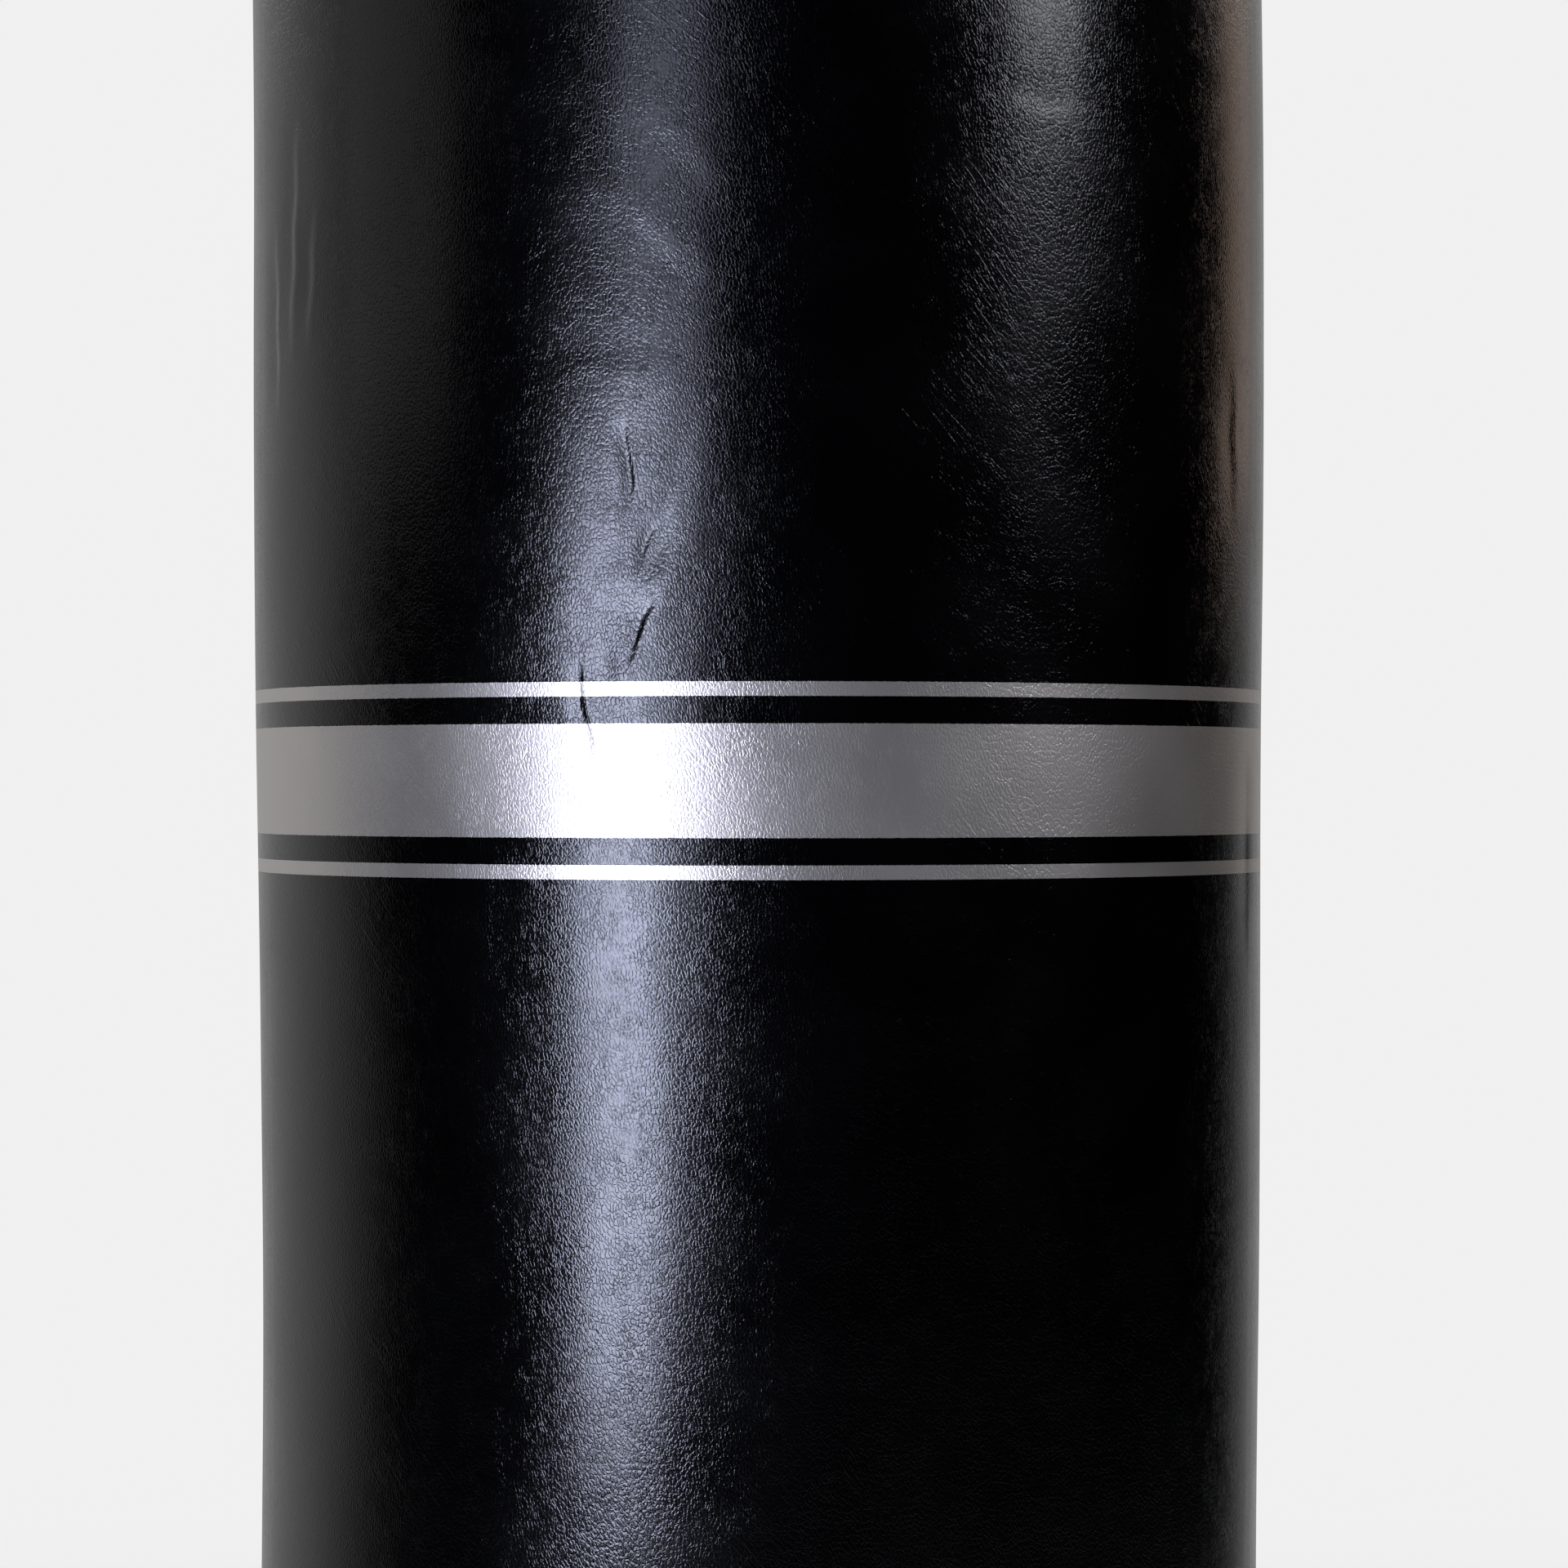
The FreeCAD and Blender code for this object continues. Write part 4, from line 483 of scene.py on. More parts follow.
dressing = {
    "nitrileRubber": ("suction_cups", "filler_gasket"),
    "zincPlatedSteel": (
        "cup_studs", "cup_washers", "cup_nuts", "lower_seat_washers", "lower_seat_bolts",
        "upper_seat_washers", "upper_seat_bolts", "upper_seat_nuts", "cross_bolt", "cross_nut",
    ),
    "powderCoatedSteel": ("base_plate", "lower_spring_seat", "upper_spring_seat", "bag_plate"),
    "galvanisedSteel": ("centre_column", "core_tube"),
    "blackOxideSteel": ("column_screws", "lower_set_screws", "upper_set_screws", "seat_cap_screw"),
    "rotomouldedPolyethylene": ("ballast_tank", "filler_neck"),
    "drySand": ("sand_ballast",),
    "injectedPolypropylene": ("filler_cap", "tube_plug"),
    "turnedBrass": ("tank_inserts",),
    "springEnamel": ("coil_spring",),
    "polyurethaneBuffer": ("rubber_buffer",),
    "firmFoam": ("inner_foam",),
    "openCellFoam": ("outer_foam", "top_pad"),
    "birchPlywood": ("top_board",),
    "coatedFabricPlain": ("bag_cover", "top_panel", "top_piping"),
    "wovenZipTape": ("zip_tape",),
    "zipNylon": ("zip_chain",),
    "gunmetalPlating": ("zip_stops", "zip_slider", "zip_pull"),
}
for finish, dressed in dressing.items():
    for node in dressed:
        slots = nodes[node].data.materials
        slots.clear()
        slots.append(finishes[finish])
print("punching bag: %d materials" % len(finishes))


floor = {
    "radius": 7.0,
    "sides": 96,
    "fade": (1.2, 6.0),
    "paint": "#c5c5c5",
    "lit": 0.45,
}
count = floor["sides"]
turns = [2 * math.pi * i / count for i in range(count)]
rim = [(floor["radius"] * math.cos(t), floor["radius"] * math.sin(t), 0) for t in turns]
ground = newMesh("studioFloor", rim, [list(range(count))], soft=False)
material = bpy.data.materials.new("paleFloor")  # matt painted floor that melts into the backdrop
material.use_nodes = True
tree = material.node_tree
tree.nodes.clear()
place = addNode(tree, "ShaderNodeTexCoord").outputs["Object"]
out = addNode(tree, "ShaderNodeVectorMath", {"operation": "LENGTH"}, in0=place)
fade = eased(tree, out.outputs["Value"], floor["fade"])
paint = addNode(tree, "ShaderNodeBsdfDiffuse", Color=linear(floor["paint"]))
seen = addNode(tree, "ShaderNodeLightPath").outputs["Is Camera Ray"]
lit = calc(tree, multiply, seen, floor["lit"])
even = addNode(tree, "ShaderNodeEmission", Color=(1, 1, 1, 1), Strength=lit)
both = addNode(tree, "ShaderNodeAddShader", in0=paint, in1=even)
clear = addNode(tree, "ShaderNodeBsdfTransparent")
melt = addNode(tree, "ShaderNodeMixShader", in0=fade, in1=both, in2=clear)
addNode(tree, "ShaderNodeOutputMaterial", Surface=melt)
ground.data.materials.append(material)


coverInset = 0.0002  # the fabric's face lies this far inside the solid's
cover = {
    "radius": bagRadius - coverInset,
    "taper": 0.0018,  # the padding settles a little toward the middle of the bag
    "taperFrom": 1.36,
    "taperTo": 0.98,
    "foot": (0.60, 0.30),  # height where the taper starts, and over how much it comes in
    "least": bagRadius - 0.0031,  # the foam stops the fabric here
    "hem": 0.124,  # radius of the hole in the bottom
    "hemCalm": (0.135, 0.033),  # outside this radius the folds come in over this width
    "round": 0.026,  # radius of the lower edge
    "roundSteps": 10,
    "hemSteps": 5,
    "hemRun": 1.2,  # fabric taken up round the edge for each metre inward
    "waves": (
        # round the bag, up the bag in metres, phase, size in mm
        (2, 0.83, 0.4, 0.40),
        (3, 0.47, 1.9, 0.30),
        (5, 0.29, 4.0, 0.17),
        (9, 0.21, 2.2, 0.10),
        (14, 0.13, 5.1, 0.05),
    ),
    "sway": ((0.9, 0.3, 0.7), (0.36, 2.1, 0.6)),  # period in metres, phase, mm to the side
    "swayEnd": (0.56, 0.2),  # the same for the sway
    # gathers at the sewn ends: count round the bag, size in mm
    "pucker": ((61, 0.32), (97, 0.22), (143, 0.12)),
    "puckerReach": 0.022,
    "zipCalm": (0.10, 0.30),  # radians from the back where folds start, and over how many more
    "lap": 4.0,  # how much wider a crease is on its gentle side
    "lip": (0.2, 1.9, 0.9),  # ridge beside a crease: height, place and width against its own
    "wriggle": (0.0006, 260),  # no crease is quite straight: metres, radians a metre
    "tail": 1.3,  # how early a crease thins out
    "slotHalf": 0.0075,
    "fold": 0.0016,
    # columns: edges in degrees from the front, and how many run between them, narrow at creases
    "edges": (-72, -54, -22, -8, 58, 72),
    "columns": (36, 25, 66, 50, 22),
    "sideColumns": 41,
    "rows": (
        # the height where a stretch of rows ends, and the step in it
        (0.58, 0.004),
        (0.93, 0.0075),
        (1.19, 0.0036),
        (1.32, 0.0014),
        (1.48, 0.0028),
        (1.69, 0.0075),
    ),
    "topRow": 0.0035,
    "topGap": 0.002,  # the last row is this far under the cover's top
    "tuck": ((0.0006, 0.0012), (0.0022, 0.0024)),  # in and up, where the edge turns in at the top
}
creases = (
    # degrees from the front, height, length mm, width mm, depth mm, lean in degrees
    (-13.1, 1.297, 30, 0.70, 0.30, -4),
    (-11.1, 1.272, 18, 0.65, 0.20, 22),
    (-11.9, 1.246, 28, 0.70, 0.26, 25),
    (-17.9, 1.222, 34, 0.75, 0.26, -9),
    (-9.0, 1.290, 62, 4.5, 0.28, 14),
    (-12.5, 1.258, 70, 5.0, 0.32, 24),
    (-15.5, 1.232, 64, 4.5, 0.28, -12),
    (-7.5, 1.386, 58, 4.0, 0.24, -46),
    (-11.0, 1.362, 66, 4.5, 0.26, -50),
    (-14.0, 1.331, 62, 3.0, 0.14, 91),
    (29.0, 1.411, 76, 2.8, 0.08, 94),
    (19.0, 1.389, 26, 1.6, 0.28, 40),
    (24.0, 1.380, 20, 1.5, 0.22, 46),
    (-62.0, 1.375, 84, 2.2, 0.45, 4),
    (-67.0, 1.350, 66, 2.0, 0.42, -3),
    (-57.5, 1.362, 50, 2.0, 0.34, 6),
    (64.0, 1.310, 60, 2.4, 0.35, -4),
    (71.0, 1.180, 90, 2.6, 0.40, 3),
    (5.0, 1.020, 40, 2.4, 0.20, 12),
    (-35.0, 1.060, 34, 2.2, 0.26, -10),
    (122.0, 1.280, 70, 2.6, 0.40, 5),
    (-118.0, 1.180, 60, 2.4, 0.40, -7),
    (-140.0, 0.900, 46, 2.4, 0.34, 14),
    (96.0, 0.860, 52, 2.4, 0.36, -12),
    (28.0, 0.720, 44, 2.6, 0.36, 20),
    (-48.0, 0.760, 52, 2.6, 0.34, -16),
    (-20.0, 1.560, 48, 2.4, 0.34, 10),
    (52.0, 1.600, 44, 2.4, 0.34, -14),
)


def smooth(x):
    x = np.clip(x, 0, 1)
    return x * x * (3 - 2 * x)


def offZip(angle):
    # 0 at the zip, which keeps the back straight, and 1 away from it
    calm, fade = cover["zipCalm"]
    return smooth((math.pi - np.abs(angle) - calm) / fade)


def swellOf(angle, z):
    # how far the fabric stands off its own profile, at an angle from the front and a height
    settled = (cover["taperFrom"] - z) / (cover["taperFrom"] - cover["taperTo"])
    foot, fade = cover["foot"]
    out = -cover["taper"] * smooth(settled)
    out = out * smooth((z - foot) / fade)
    for count, period, phase, size in cover["waves"]:
        upward = np.sin(2 * math.pi * z / period + 1.7 * phase)
        out = out + size * mm * np.cos(count * angle + phase) * upward
    for count, size in cover["pucker"]:
        for end in (coverHigh.z, coverLow.z + cover["round"]):
            near = np.exp(-np.abs(z - end) / cover["puckerReach"])
            out = out + size * mm * near * np.cos(count * angle + 3 * np.sin(2 * angle + count))
    lip, lipAt, lipWide = cover["lip"]
    wriggle, bends = cover["wriggle"]
    for turn, height, length, width, depth, lean in creases:
        across = ((angle - math.radians(turn) + math.pi) % (2 * math.pi) - math.pi) * bagRadius
        up = z - height
        leaning = math.radians(lean)
        along = up * math.cos(leaning) + across * math.sin(leaning)
        side = across * math.cos(leaning) - up * math.sin(leaning)
        side = side + wriggle * np.sin(along * bends + turn)
        reach = np.clip(1 - (2 * along / (length * mm)) ** 2, 0, 1) ** cover["tail"]
        wide = np.where(side > 0, width, width * cover["lap"]) * mm
        dip = np.exp(-((side / wide) ** 2))
        dip = dip - lip * np.exp(-(((side - lipAt * wide) / (lipWide * wide)) ** 2))
        out = out - depth * mm * dip * reach
    return out * offZip(angle)


def swayOf(z):
    turn = 2 * math.pi * z
    return sum(size * mm * np.sin(turn / period + phase) for period, phase, size in cover["sway"])


def onCover(angle, z, lift=0.0):
    radius = np.maximum(cover["radius"] + swellOf(angle, z), cover["least"]) + lift
    end, fade = cover["swayEnd"]
    calm = offZip(angle) * smooth((z - end) / fade) * smooth((coverHigh.z - z) / fade)
    return radius * np.sin(angle) + swayOf(z) * calm, -radius * np.cos(angle), z + 0 * angle


def buildCover():
    half = math.asin(cover["slotHalf"] / cover["radius"])
    edges = cover["edges"]
    spans = zip(edges, edges[1:], cover["columns"])
    fine = np.concatenate([np.linspace(a, b, n, endpoint=False) for a, b, n in spans])
    side = np.linspace(math.radians(edges[-1]), math.pi - half, cover["sideColumns"])
    right = np.concatenate([side, [math.pi - half / 3]])
    angles = np.concatenate([-right[::-1], np.radians(fine[1:]), right])
    slotFoot, slotHead = stopLow.z, stopHigh.z
    top = coverHigh.z - cover["topGap"]
    heights = []
    low = coverLow.z + cover["round"]
    for high, step in cover["rows"] + ((top, cover["topRow"]),):
        heights.append(np.linspace(low, high, max(2, round((high - low) / step)), endpoint=False))
        low = high
    heights = np.concatenate(heights + [[top]])
    for mark in (slotFoot, slotHead):
        heights[np.argmin(np.abs(heights - mark))] = mark
    points = []
    uvs = []
    # hem and rounded lower edge, from the middle outwards
    bend, steps = cover["round"], cover["hemSteps"]
    flatWide = bagRadius - bend - cover["hem"]
    lower = [(cover["hem"] + flatWide * i / steps, coverLow.z) for i in range(steps)]
    for i in range(cover["roundSteps"]):
        turn = math.pi / 2 * i / cover["roundSteps"]
        out = bagRadius - bend + (bend - coverInset) * math.sin(turn)
        lower.append((out, coverLow.z + bend - bend * math.cos(turn)))
    calm, fade = cover["hemCalm"]
    for radius, z in lower:
        puff = swellOf(angles, np.full_like(angles, heights[0])) * smooth((radius - calm) / fade)
        reach = radius + puff
        level = np.full_like(angles, z)
        points += list(zip(reach * np.sin(angles), -reach * np.cos(angles), level))
        down = heights[0] - (bagRadius - radius) * cover["hemRun"]
        uvs += [(a * bagRadius, down) for a in angles]
    for z in heights:
        x, y, up = onCover(angles, np.full_like(angles, z))
        points += list(zip(x, y, up))
        uvs += [(a * bagRadius, z) for a in angles]
    for inset, rise in cover["tuck"]:
        x, y, up = onCover(angles, np.full_like(angles, heights[-1]), -inset)
        points += list(zip(x, y, up + rise))
        uvs += [(a * bagRadius, heights[-1] + rise) for a in angles]
    columns = len(angles)
    slot = (0, columns - 2, columns - 1)  # the columns left out for the zip
    close = 1e-6
    faces = []
    for r in range(len(points) // columns - 1):
        k = r - len(lower)
        inSlot = 0 <= k < len(heights) - 1 and slotFoot - close <= heights[k] < slotHead - close
        for c in range(columns):
            if inSlot and c in slot:
                continue
            a, b = r * columns + c, r * columns + (c + 1) % columns
            faces.append((a, b, b + columns, a + columns))
    piece = newMesh("bag_cover_skin", points, faces, uvs)
    # the slot's edges are folded inwards over the zip's tape
    bm = bmesh.new()
    bm.from_mesh(piece.data)
    low, high, back = slotFoot - 1e-4, slotHead + 1e-4, 0.1  # the zip is at the back
    atSlot = {v for v in bm.verts if low < v.co.z < high and v.co.y > back}
    rim = [e for e in bm.edges if e.is_boundary and atSlot.issuperset(e.verts)]
    made = bmesh.ops.extrude_edge_only(bm, edges=rim)
    for v in [g for g in made["geom"] if isinstance(g, bmesh.types.BMVert)]:
        v.co.y -= cover["fold"]
    # the new faces come in any order, so they are set in one by the points they join
    bm.verts.index_update()
    count = len(bm.verts)
    order = {f: sorted(v.index for v in f.verts) for f in bm.faces}
    bm.faces.sort(key=lambda f: order[f][-1] * count + order[f][-2])
    bm.to_mesh(piece.data)
    bm.free()
    piece.data.polygons.foreach_set("use_smooth", [True] * len(piece.data.polygons))
    piece.data.materials.append(finishes["coatedFabricPrinted"])
    return piece


coverSkin = buildCover()
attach(coverSkin, "bag")
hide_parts("bag_cover")
print("punching bag: cover, %d faces" % len(coverSkin.data.polygons))


topPanel = {
    "edge": panelHigh.x + 0.0018,
    "crown": 0.0105,
    "crownPower": 2.6,  # flat in the middle, and falling fast at the edge
    "sink": (0.0022, 30),  # the stitched edge lies lower than the piping: depth and power
    "rings": 46,
    "crowding": 0.85,  # the rings stand closer at the edge
    "spokes": 216,
    "pucker": ((72, 0.35), (41, 0.28), (113, 0.15)),  # count, mm
    "puckerReach": (0.013, 0.003),  # how far in they fade out, and where they start
    "slow": (0.0006, 0.0004),  # two broad waves
    "seam": 0.0062,  # the stitching pulls a channel this far in
    "seamDeep": 0.0009,
    "seamWide": 0.0016,
}


def crownOf(share):
    return topPanel["crown"] * (1 - share ** topPanel["crownPower"])


def buildTopPanel():
    points = []
    uvs = []
    rings, spokes = topPanel["rings"], topPanel["spokes"]
    reach, start = topPanel["puckerReach"]
    broad, cross = topPanel["slow"]
    sink, power = topPanel["sink"]
    low = panelLow.z
    turn = np.linspace(-math.pi, math.pi, spokes, endpoint=False)
    for i in range(1, rings + 1):
        share = (i / rings) ** topPanel["crowding"]
        radius = topPanel["edge"] * share
        inset = topPanel["edge"] - radius
        wave = sum(s * mm * np.cos(n * turn + 2 * np.sin(turn + n)) for n, s in topPanel["pucker"])
        wave = wave * math.exp(-inset / reach) * min(1, inset / start)
        slow = broad * np.cos(2 * turn + 0.7) * math.sin(math.pi * share)
        slow = slow + cross * np.cos(5 * turn) * share * (1 - share)
        fromSeam = (inset - topPanel["seam"]) / topPanel["seamWide"]
        sewn = -topPanel["seamDeep"] * math.exp(-(fromSeam**2))
        z = low - sink * share**power + crownOf(share) + wave + slow + sewn
        points += list(zip(radius * np.sin(turn), -radius * np.cos(turn), z))
        uvs += [(radius * math.sin(a), -radius * math.cos(a)) for a in turn]
    points.append((0, 0, low + topPanel["crown"] + 0.0002))
    uvs.append((0, 0))
    middle = len(points) - 1
    faces = [(middle, c, (c + 1) % spokes) for c in range(spokes)]
    faces += ringFaces(rings, spokes, turned=True)
    piece = newMesh("top_panel_skin", points, faces, uvs)
    piece.data.materials.append(finishes["coatedFabricPlain"])
    return piece


panelSkin = buildTopPanel()
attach(panelSkin, "bag")
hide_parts("top_panel")


piping = {
    "around": 360,
    "about": 14,
    "pucker": ((57, 0.03, 0), (91, 0.025, 1)),  # count, share of the thickness, phase
    "lapThick": 0.0004,
    "lapReach": 0.035,  # radians
}


def buildPiping():
    # a cord in a folded strip of the same fabric, with small puckers and one overlap at the back
    around, about = piping["around"], piping["about"]
    middle = (pipingHigh.x + pipingLow.x) / 2
    wire = (pipingHigh.z - pipingLow.z) / 2
    ring = pipingHigh.x - wire
    height = (pipingHigh.z + pipingLow.z) / 2
    points = []
    uvs = []
    for i in range(around):
        angle = -math.pi + 2 * math.pi * i / around
        gathers = [share * math.sin(n * angle + phase) for n, share, phase in piping["pucker"]]
        thick = wire * sum(gathers, 1.0)
        fromLap = (math.pi - abs(angle)) / piping["lapReach"]
        thick += piping["lapThick"] * math.exp(-(fromLap**2))
        for k in range(about):
            turn = 2 * math.pi * k / about
            r = ring + thick * math.cos(turn)
            z = height + thick * math.sin(turn)
            points.append((middle + r * math.sin(angle), -r * math.cos(angle), z))
            uvs.append((wire * turn, angle * ring))
    faces = ringFaces(around, about, turned=True, closed=True)
    piece = newMesh("top_piping_welt", points, faces, uvs)
    facesOutward(piece.data)
    piece.data.polygons.foreach_set("use_smooth", [True] * len(piece.data.polygons))
    piece.data.materials.append(finishes["coatedFabricPlain"])
    return piece


welt = buildPiping()
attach(welt, "bag")
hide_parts("top_piping")
print("punching bag: top panel and piping")


spring = {
    "radius": 0.058,  # to the middle of the wire
    "wire": 0.009,  # radius
    "active": 3.5,  # turns
    "closed": 1.0,  # turns at each end
    "closedPitch": 0.0186,
    "steps": 36,  # in a turn
    "sides": 16,
    "bite": 0.030,  # the seats hold this much of each end
    "waist": 0.008,  # each half follows the neck alone this near the middle
}


def springLine():
    # one wire with closed turns at both ends, as points up the middle of the wire
    wire, radius = spring["wire"], spring["radius"]
    turns = spring["active"] + 2 * spring["closed"]
    count = int(round(turns * spring["steps"]))
    step = turns / count
    turn = (np.arange(count) + 0.5) * step
    inset = np.minimum(turn, turns - turn) - spring["closed"]
    share = smooth(0.5 + 2 * inset)
    travel = (springHigh.z - springLow.z) - 2 * wire
    freeRise = (travel - spring["closedPitch"] * step * np.sum(1 - share)) / (step * np.sum(share))
    steps = step * (share * freeRise + (1 - share) * spring["closedPitch"])
    rise = np.concatenate([[0], np.cumsum(steps)])
    angle = 2 * math.pi * step * np.arange(count + 1)
    up = springLow.z + wire + rise
    return np.stack([radius * np.cos(angle), radius * np.sin(angle), up], axis=1)


def coils(name, line, capStart, capEnd):
    # a round wire along the line; the shared ring in the middle stays open
    points = []
    wire, sides = spring["wire"], spring["sides"]
    count = len(line)
    for i, p in enumerate(line):
        ahead = line[min(i + 1, count - 1)] - line[max(i - 1, 0)]
        ahead = Vector(ahead).normalized()
        outward = Vector((p[0], p[1], 0)).normalized()
        up = ahead.cross(outward).normalized()
        outward = up.cross(ahead)
        for k in range(sides):
            turn = 2 * math.pi * k / sides
            points.append(Vector(p) + wire * (math.cos(turn) * outward + math.sin(turn) * up))
    faces = ringFaces(count, sides)
    if capStart:
        faces.append(tuple(range(sides))[::-1])
    if capEnd:
        faces.append(tuple(range((count - 1) * sides, count * sides)))
    piece = newMesh(name, points, faces)
    facesOutward(piece.data)
    quads = [len(p.vertices) == 4 for p in piece.data.polygons]  # the end caps stay flat
    piece.data.polygons.foreach_set("use_smooth", quads)
    piece.data.materials.append(finishes["springEnamel"])
    return piece


line = springLine()
split = len(line) // 2
lowerCoils = coils("spring_lower_coils", line[: split + 1], True, False)
upperCoils = coils("spring_upper_coils", line[split:], False, True)
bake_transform(lowerCoils)
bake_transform(upperCoils)
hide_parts("coil_spring")
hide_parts("coil_spring")
print("punching bag: spring")


def nodeTree(name, sizes):
    # a geometry tree with one geometry input and named sizes, for what repeats
    tree = bpy.data.node_groups.new(name, "GeometryNodeTree")
    tree.interface.new_socket("Geometry", in_out="INPUT", socket_type="NodeSocketGeometry")
    tree.interface.new_socket("Geometry", in_out="OUTPUT", socket_type="NodeSocketGeometry")
    for label, value in sizes.items():
        kind = "NodeSocketInt" if isinstance(value, int) else "NodeSocketFloat"
        if isinstance(value, bpy.types.Material):
            kind = "NodeSocketMaterial"
        socket = tree.interface.new_socket(label, in_out="INPUT", socket_type=kind)
        if kind != "NodeSocketMaterial":
            socket.default_value = value
    return tree, addNode(tree, "NodeGroupInput").outputs


def grown(name, source, tree, sizes):
    # runs the tree on the source object and keeps the result as a plain mesh
    modifier = source.modifiers.new(name, "NODES")
    modifier.node_group = tree
    for item in tree.interface.items_tree:
        if item.item_type == "SOCKET" and item.in_out == "INPUT" and item.name in sizes:
            modifier[item.identifier] = sizes[item.name]
    bpy.context.view_layer.update()
    evaluated = source.evaluated_get(bpy.context.evaluated_depsgraph_get())
    mesh = bpy.data.meshes.new_from_object(evaluated)
    mesh.name = name
    source.modifiers.remove(modifier)
    bpy.data.objects.remove(source)
    return putIn(name, mesh)


def spacedAlong(tree, path, spacing):
    # points at an even spacing along the incoming edges
    run = addNode(tree, "GeometryNodeMeshToCurve", Mesh=path)
    return addNode(tree, "GeometryNodeResampleCurve", byLength, Curve=run, Length=spacing)


def endTree(tree, placed, finish, soft=True):
    # no instance is left, because the export drops them
    real = addNode(tree, "GeometryNodeRealizeInstances", Geometry=placed)
    if soft:
        real = addNode(tree, "GeometryNodeSetShadeSmooth", Geometry=real)
    coloured = addNode(tree, "GeometryNodeSetMaterial", Geometry=real, Material=finish)
    addNode(tree, "NodeGroupOutput", Geometry=coloured)
    return tree


stitch = {
    "Spacing": 0.0036,
    "Length": 0.0027,
    "Thread": 0.00042,  # radius
    "Seed": 3,
    "Thread finish": finishes["polyesterThread"],
}
slant = 0.06  # radians, because no stitch lies quite straight


def stitchTree():
    # each stitch is a flattened bead of thread, set a little askew
    tree, given = nodeTree("threadStitches", stitch)
    spaced = spacedAlong(tree, given["Geometry"], given["Spacing"])
    bead = addNode(tree, "GeometryNodeMeshUVSphere", Segments=6, Rings=4, Radius=1.0)
    half = calc(tree, divide, given["Length"], 2.0)
    shape = addNode(tree, "ShaderNodeCombineXYZ", X=given["Thread"], Y=given["Thread"], Z=half)
    ahead = addNode(tree, "GeometryNodeInputTangent")
    turn = addNode(tree, "FunctionNodeAlignRotationToVector", {"axis": "Z"}, Vector=ahead)
    wobble = addNode(
        tree, "FunctionNodeRandomValue", {"data_type": "FLOAT_VECTOR"}, in0=(-slant, -slant, 0),
        in1=(slant, slant, 0), Seed=given["Seed"],
    )
    tilt = addNode(tree, "FunctionNodeEulerToRotation", Euler=wobble)
    total = addNode(tree, "FunctionNodeRotateRotation", Rotation=turn, Rotate_By=tilt)
    placed = addNode(
        tree, "GeometryNodeInstanceOnPoints", Points=spaced, Instance=bead.outputs["Mesh"],
        Rotation=total, Scale=shape,
    )
    return endTree(tree, placed, given["Thread finish"])


def pathObject(runs):
    # each run is a list of points; closed runs end where they start
    mesh = bpy.data.meshes.new("seamPath")
    points = []
    edges = []
    for run, closed in runs:
        start = len(points)
        points += [tuple(p) for p in run]
        edges += [(start + i, start + i + 1) for i in range(len(run) - 1)]
        if closed:
            edges.append((len(points) - 1, start))
    mesh.from_pydata(points, edges, [])
    return putIn("seamPath", mesh)


seam = {
    "belowTop": 0.0062,
    "sunk": 0.0007,  # in the top panel's channel
    "hemIn": 0.012,
    "hemLift": 0.0001,
    "besideSlot": 0.0035,
    "pastSlot": 0.010,
    "bar": 0.004,  # bars of stitching close the ends of the slot
    "lift": 0.0002,
    "points": 400,
}


def seamRuns():
    runs = []
    turn = np.linspace(-math.pi, math.pi, seam["points"], endpoint=False)
    lift = seam["lift"]
    z = coverHigh.z - seam["belowTop"]
    runs.append((list(zip(*onCover(turn, np.full_like(turn, z), lift))), True))
    inTop = topPanel["edge"] - topPanel["seam"]
    inHem = cover["hem"] + seam["hemIn"]
    level = panelLow.z + crownOf(inTop / topPanel["edge"]) - seam["sunk"]
    for ring, z in ((inTop, level), (inHem, coverLow.z - seam["hemLift"])):
        runs.append(([(ring * math.sin(a), -ring * math.cos(a), z) for a in turn], True))
    reach = cover["slotHalf"] + seam["besideSlot"]
    for side in (-1, 1):
        edge = math.asin(reach / cover["radius"])
        past = seam["pastSlot"]
        up = np.linspace(stopLow.z - past, stopHigh.z + past, seam["points"] // 2)
        angle = np.full_like(up, side * (math.pi - edge))
        runs.append((list(zip(*onCover(angle, up, lift))), False))
    for z in (stopLow.z - seam["bar"], stopHigh.z + seam["bar"]):
        wide = np.linspace(-reach, reach, 8)
        runs.append(([(x, math.sqrt(cover["radius"] ** 2 - x * x) + lift, z) for x in wide], False))
    return runs


seams = grown("cover_stitches", pathObject(seamRuns()), stitchTree(), stitch)
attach(seams, "bag")
print("punching bag: stitches, %d faces" % len(seams.data.polygons))

teeth = {
    "Pitch": 0.0021,
    "Wide": 0.0037,  # across both rows
    "Deep": 0.00082,  # half a loop, up the zip
    "Thick": 0.00062,  # radius of the nylon
    "Offset": 0.00125,  # each row from the middle
    "Lean": 0.16,  # radians
    "Coil finish": finishes["zipNylon"],
}


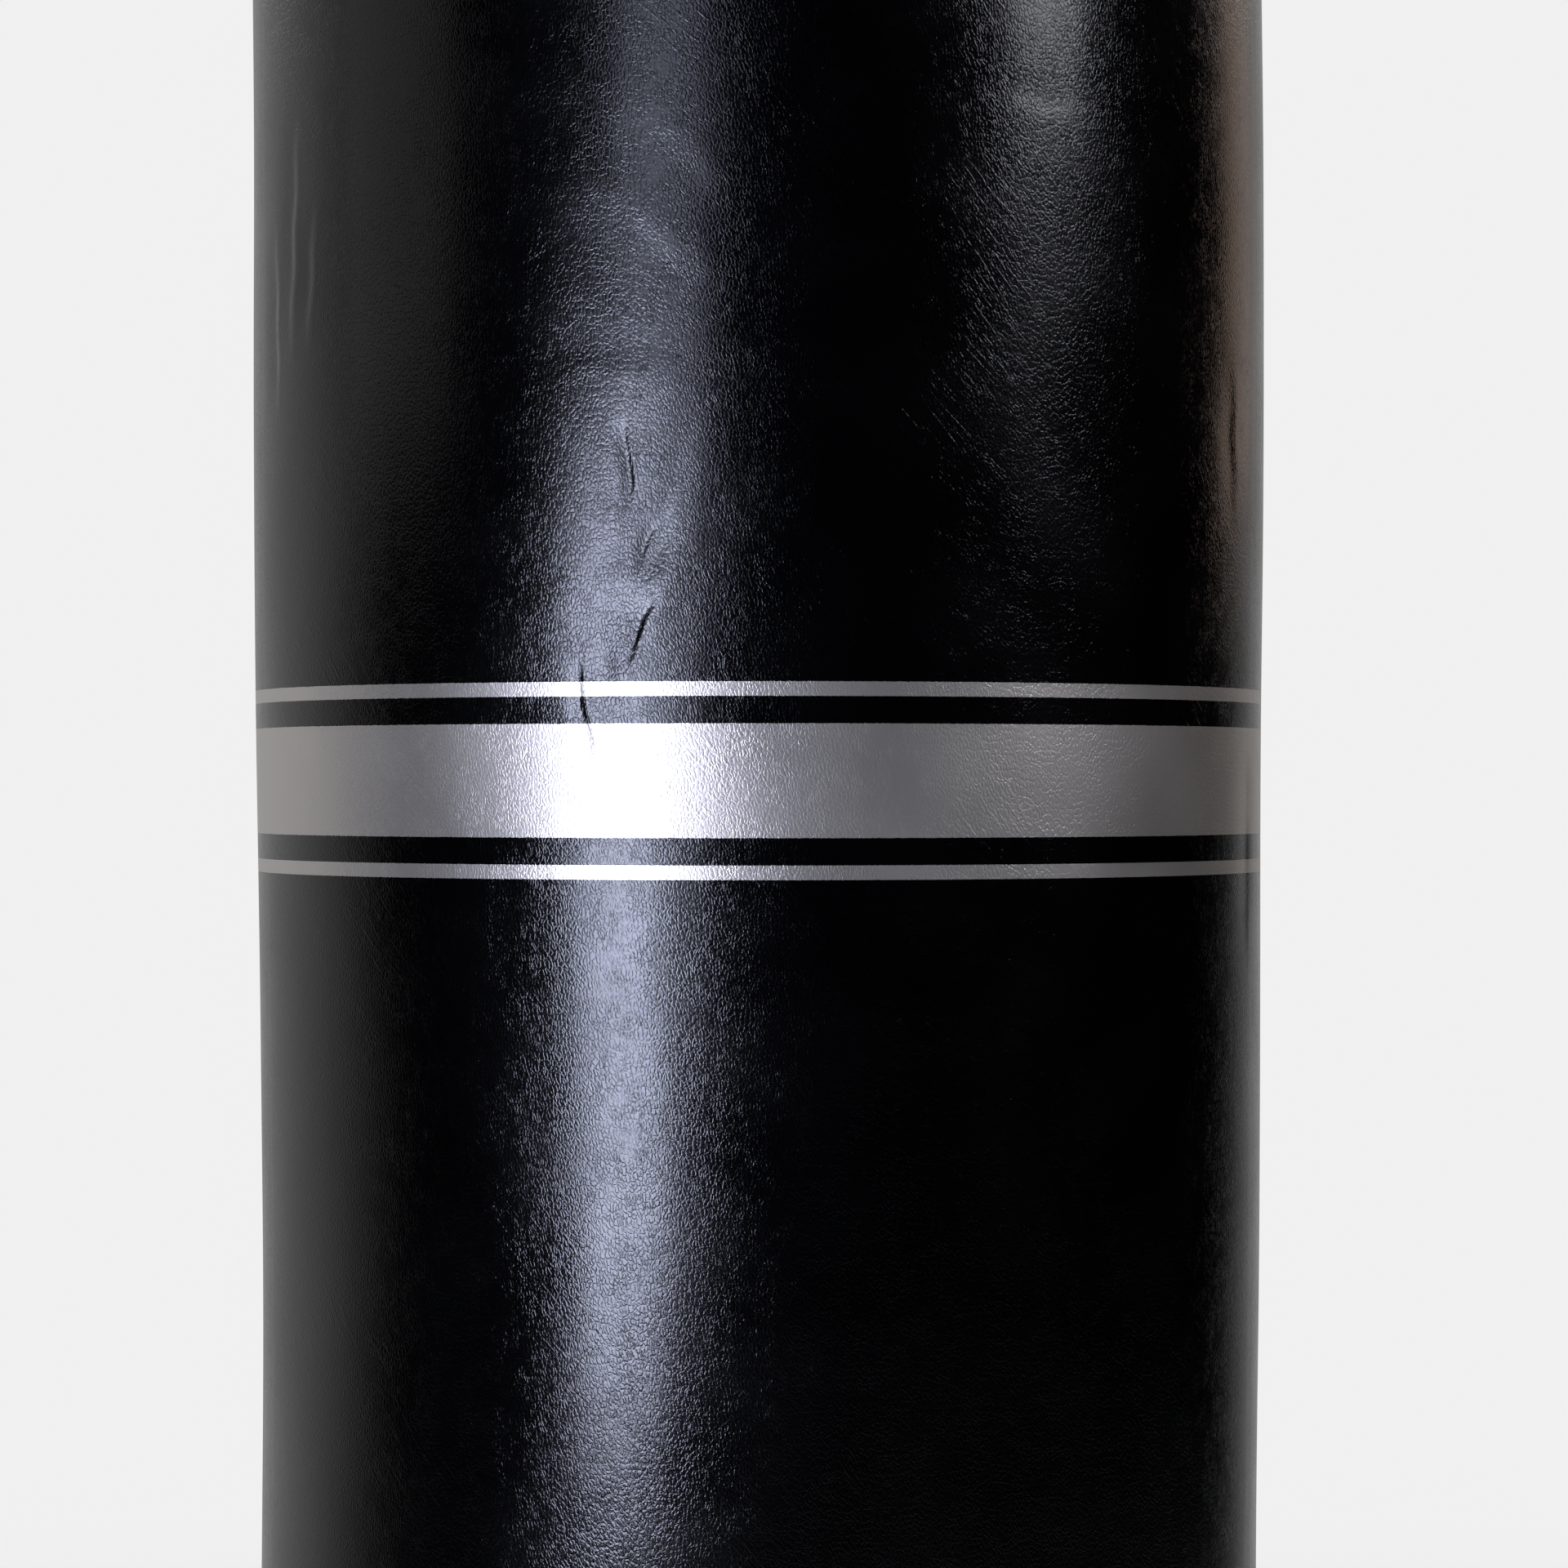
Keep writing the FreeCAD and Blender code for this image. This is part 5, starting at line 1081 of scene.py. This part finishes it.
def teethTree():
    # two interlocking rows of a nylon coil, each loop a flattened ring
    tree, given = nodeTree("coilTeeth", teeth)
    spaced = spacedAlong(tree, given["Geometry"], given["Pitch"])
    ring = addNode(tree, "GeometryNodeCurvePrimitiveCircle", Resolution=12, Radius=1.0)
    halfWide = calc(tree, divide, given["Wide"], 2.0)
    section = addNode(tree, "GeometryNodeCurvePrimitiveCircle", Resolution=6, Radius=given["Thick"])
    flatten = addNode(tree, "ShaderNodeCombineXYZ", X=halfWide, Y=given["Deep"], Z=1.0)
    squashed = addNode(tree, "GeometryNodeTransform", Geometry=ring, Scale=flatten)
    loop = addNode(tree, "GeometryNodeCurveToMesh", Curve=squashed, Profile_Curve=section)
    number = addNode(tree, "GeometryNodeInputIndex")
    odd = calc(tree, {"operation": "MODULO"}, number, 2.0)
    sign = calc(tree, multiplyAdd, odd, 2.0, -1.0)
    aside = calc(tree, multiply, sign, given["Offset"])
    shift = addNode(tree, "ShaderNodeCombineXYZ", X=aside)
    moved = addNode(tree, "GeometryNodeSetPosition", Geometry=spaced, Offset=shift)
    lean = calc(tree, multiply, sign, given["Lean"])
    turned = addNode(tree, "ShaderNodeCombineXYZ", Y=lean)
    tilt = addNode(tree, "FunctionNodeEulerToRotation", Euler=turned)
    placed = addNode(
        tree, "GeometryNodeInstanceOnPoints", Points=moved, Instance=loop, Rotation=tilt
    )
    return endTree(tree, placed, given["Coil finish"])


chainY = (chainLow.y + chainHigh.y) / 2
chainPath = [(0, chainY, z) for z in np.linspace(chainLow.z, chainHigh.z, 60)]
chain = grown("zip_coil_teeth", pathObject([(chainPath, False)]), teethTree(), teeth)
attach(chain, "bag")
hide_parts("zip_chain")
print("punching bag: zip teeth, %d faces" % len(chain.data.polygons))

bolts = {"Count": 6, "Ring": 0.095, "Seed": 11, "Finish": finishes["zincPlatedSteel"]}
bolt = {
    "across": 0.017,
    "high": 0.0064,
    "lid": 0.93,  # the flat round of the chamfered top, as a share of the width across flats
    "slope": 0.577,  # 30 degrees
    "dish": (0.86, 0.82, 0.00025),  # radii as shares of the lid, and depth
    "sides": 24,
    "shank": 0.005,
    "point": 0.0006,  # the shank is thinner at its tip
}


def hexHead():
    # head with the chamfered corners of a forged bolt, standing on z = 0
    high = bolt["high"]
    flat = bolt["across"] / 2
    lid = flat * bolt["lid"]
    outside, inside, deep = bolt["dish"]
    sides = bolt["sides"]
    outline = []
    for k in range(sides):
        turn = 2 * math.pi * k / sides
        fromFlat = (turn + math.pi / 6) % (math.pi / 3) - math.pi / 6
        outline.append((turn, flat / math.cos(fromFlat)))
    points = [(r * math.sin(t), r * math.cos(t), 0) for t, r in outline]
    slope = bolt["slope"]
    points += [(r * math.sin(t), r * math.cos(t), high - (r - lid) * slope) for t, r in outline]
    for share, z in ((1, high), (outside, high), (inside, high - deep)):
        points += [(lid * share * math.sin(t), lid * share * math.cos(t), z) for t, r in outline]
    faces = [tuple(range(sides))] + ringFaces(5, sides)
    faces.append(tuple(range(4 * sides, 5 * sides))[::-1])
    head = newMesh("hexHead", points, faces, soft=False)
    facesOutward(head.data)
    return head


def ringTree(name, sizes):
    # sets copies of the incoming geometry on a ring, the first at +X, each turned a little
    tree, given = nodeTree(name, sizes)
    circle = addNode(tree, "GeometryNodeMeshCircle", Vertices=given["Count"], Radius=given["Ring"])
    number = addNode(tree, "GeometryNodeInputIndex")
    jitter = addNode(
        tree, "FunctionNodeRandomValue", {"data_type": "FLOAT"}, in2=-0.5, in3=0.5, ID=number,
        Seed=given["Seed"],
    )
    turned = addNode(tree, "ShaderNodeCombineXYZ", Z=jitter.outputs[1])
    tilt = addNode(tree, "FunctionNodeEulerToRotation", Euler=turned)
    placed = addNode(
        tree, "GeometryNodeInstanceOnPoints", Points=circle, Instance=given["Geometry"],
        Rotation=tilt,
    )
    return endTree(tree, placed, given["Finish"], soft=False)


def seatBolts(name, node, up, body):
    low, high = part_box(node)
    source = hexHead()
    head, shank = bolt["high"], bolt["shank"]
    tip = shank - bolt["point"]
    bm = bmesh.new()
    bm.from_mesh(source.data)
    long = high.z - low.z - head
    made = bmesh.ops.create_cone(
        bm, cap_ends=True, segments=bolt["sides"], radius1=tip, radius2=shank, depth=long
    )
    bmesh.ops.translate(bm, verts=made["verts"], vec=(0, 0, -long / 2))
    if not up:
        bmesh.ops.scale(bm, verts=bm.verts, vec=(1, 1, -1))
        bmesh.ops.reverse_faces(bm, faces=bm.faces)
    bmesh.ops.translate(bm, verts=bm.verts, vec=(0, 0, high.z - head if up else low.z + head))
    bm.to_mesh(source.data)
    bm.free()
    piece = grown(name, source, ringTree(name + "Ring", bolts), bolts)
    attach(piece, body)
    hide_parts(node)
    return piece


seatBolts("lower_seat_hex_bolts", "lower_seat_bolts", True, "stand")
seatBolts("upper_seat_hex_bolts", "upper_seat_bolts", False, "bag")
print("punching bag: bolts")
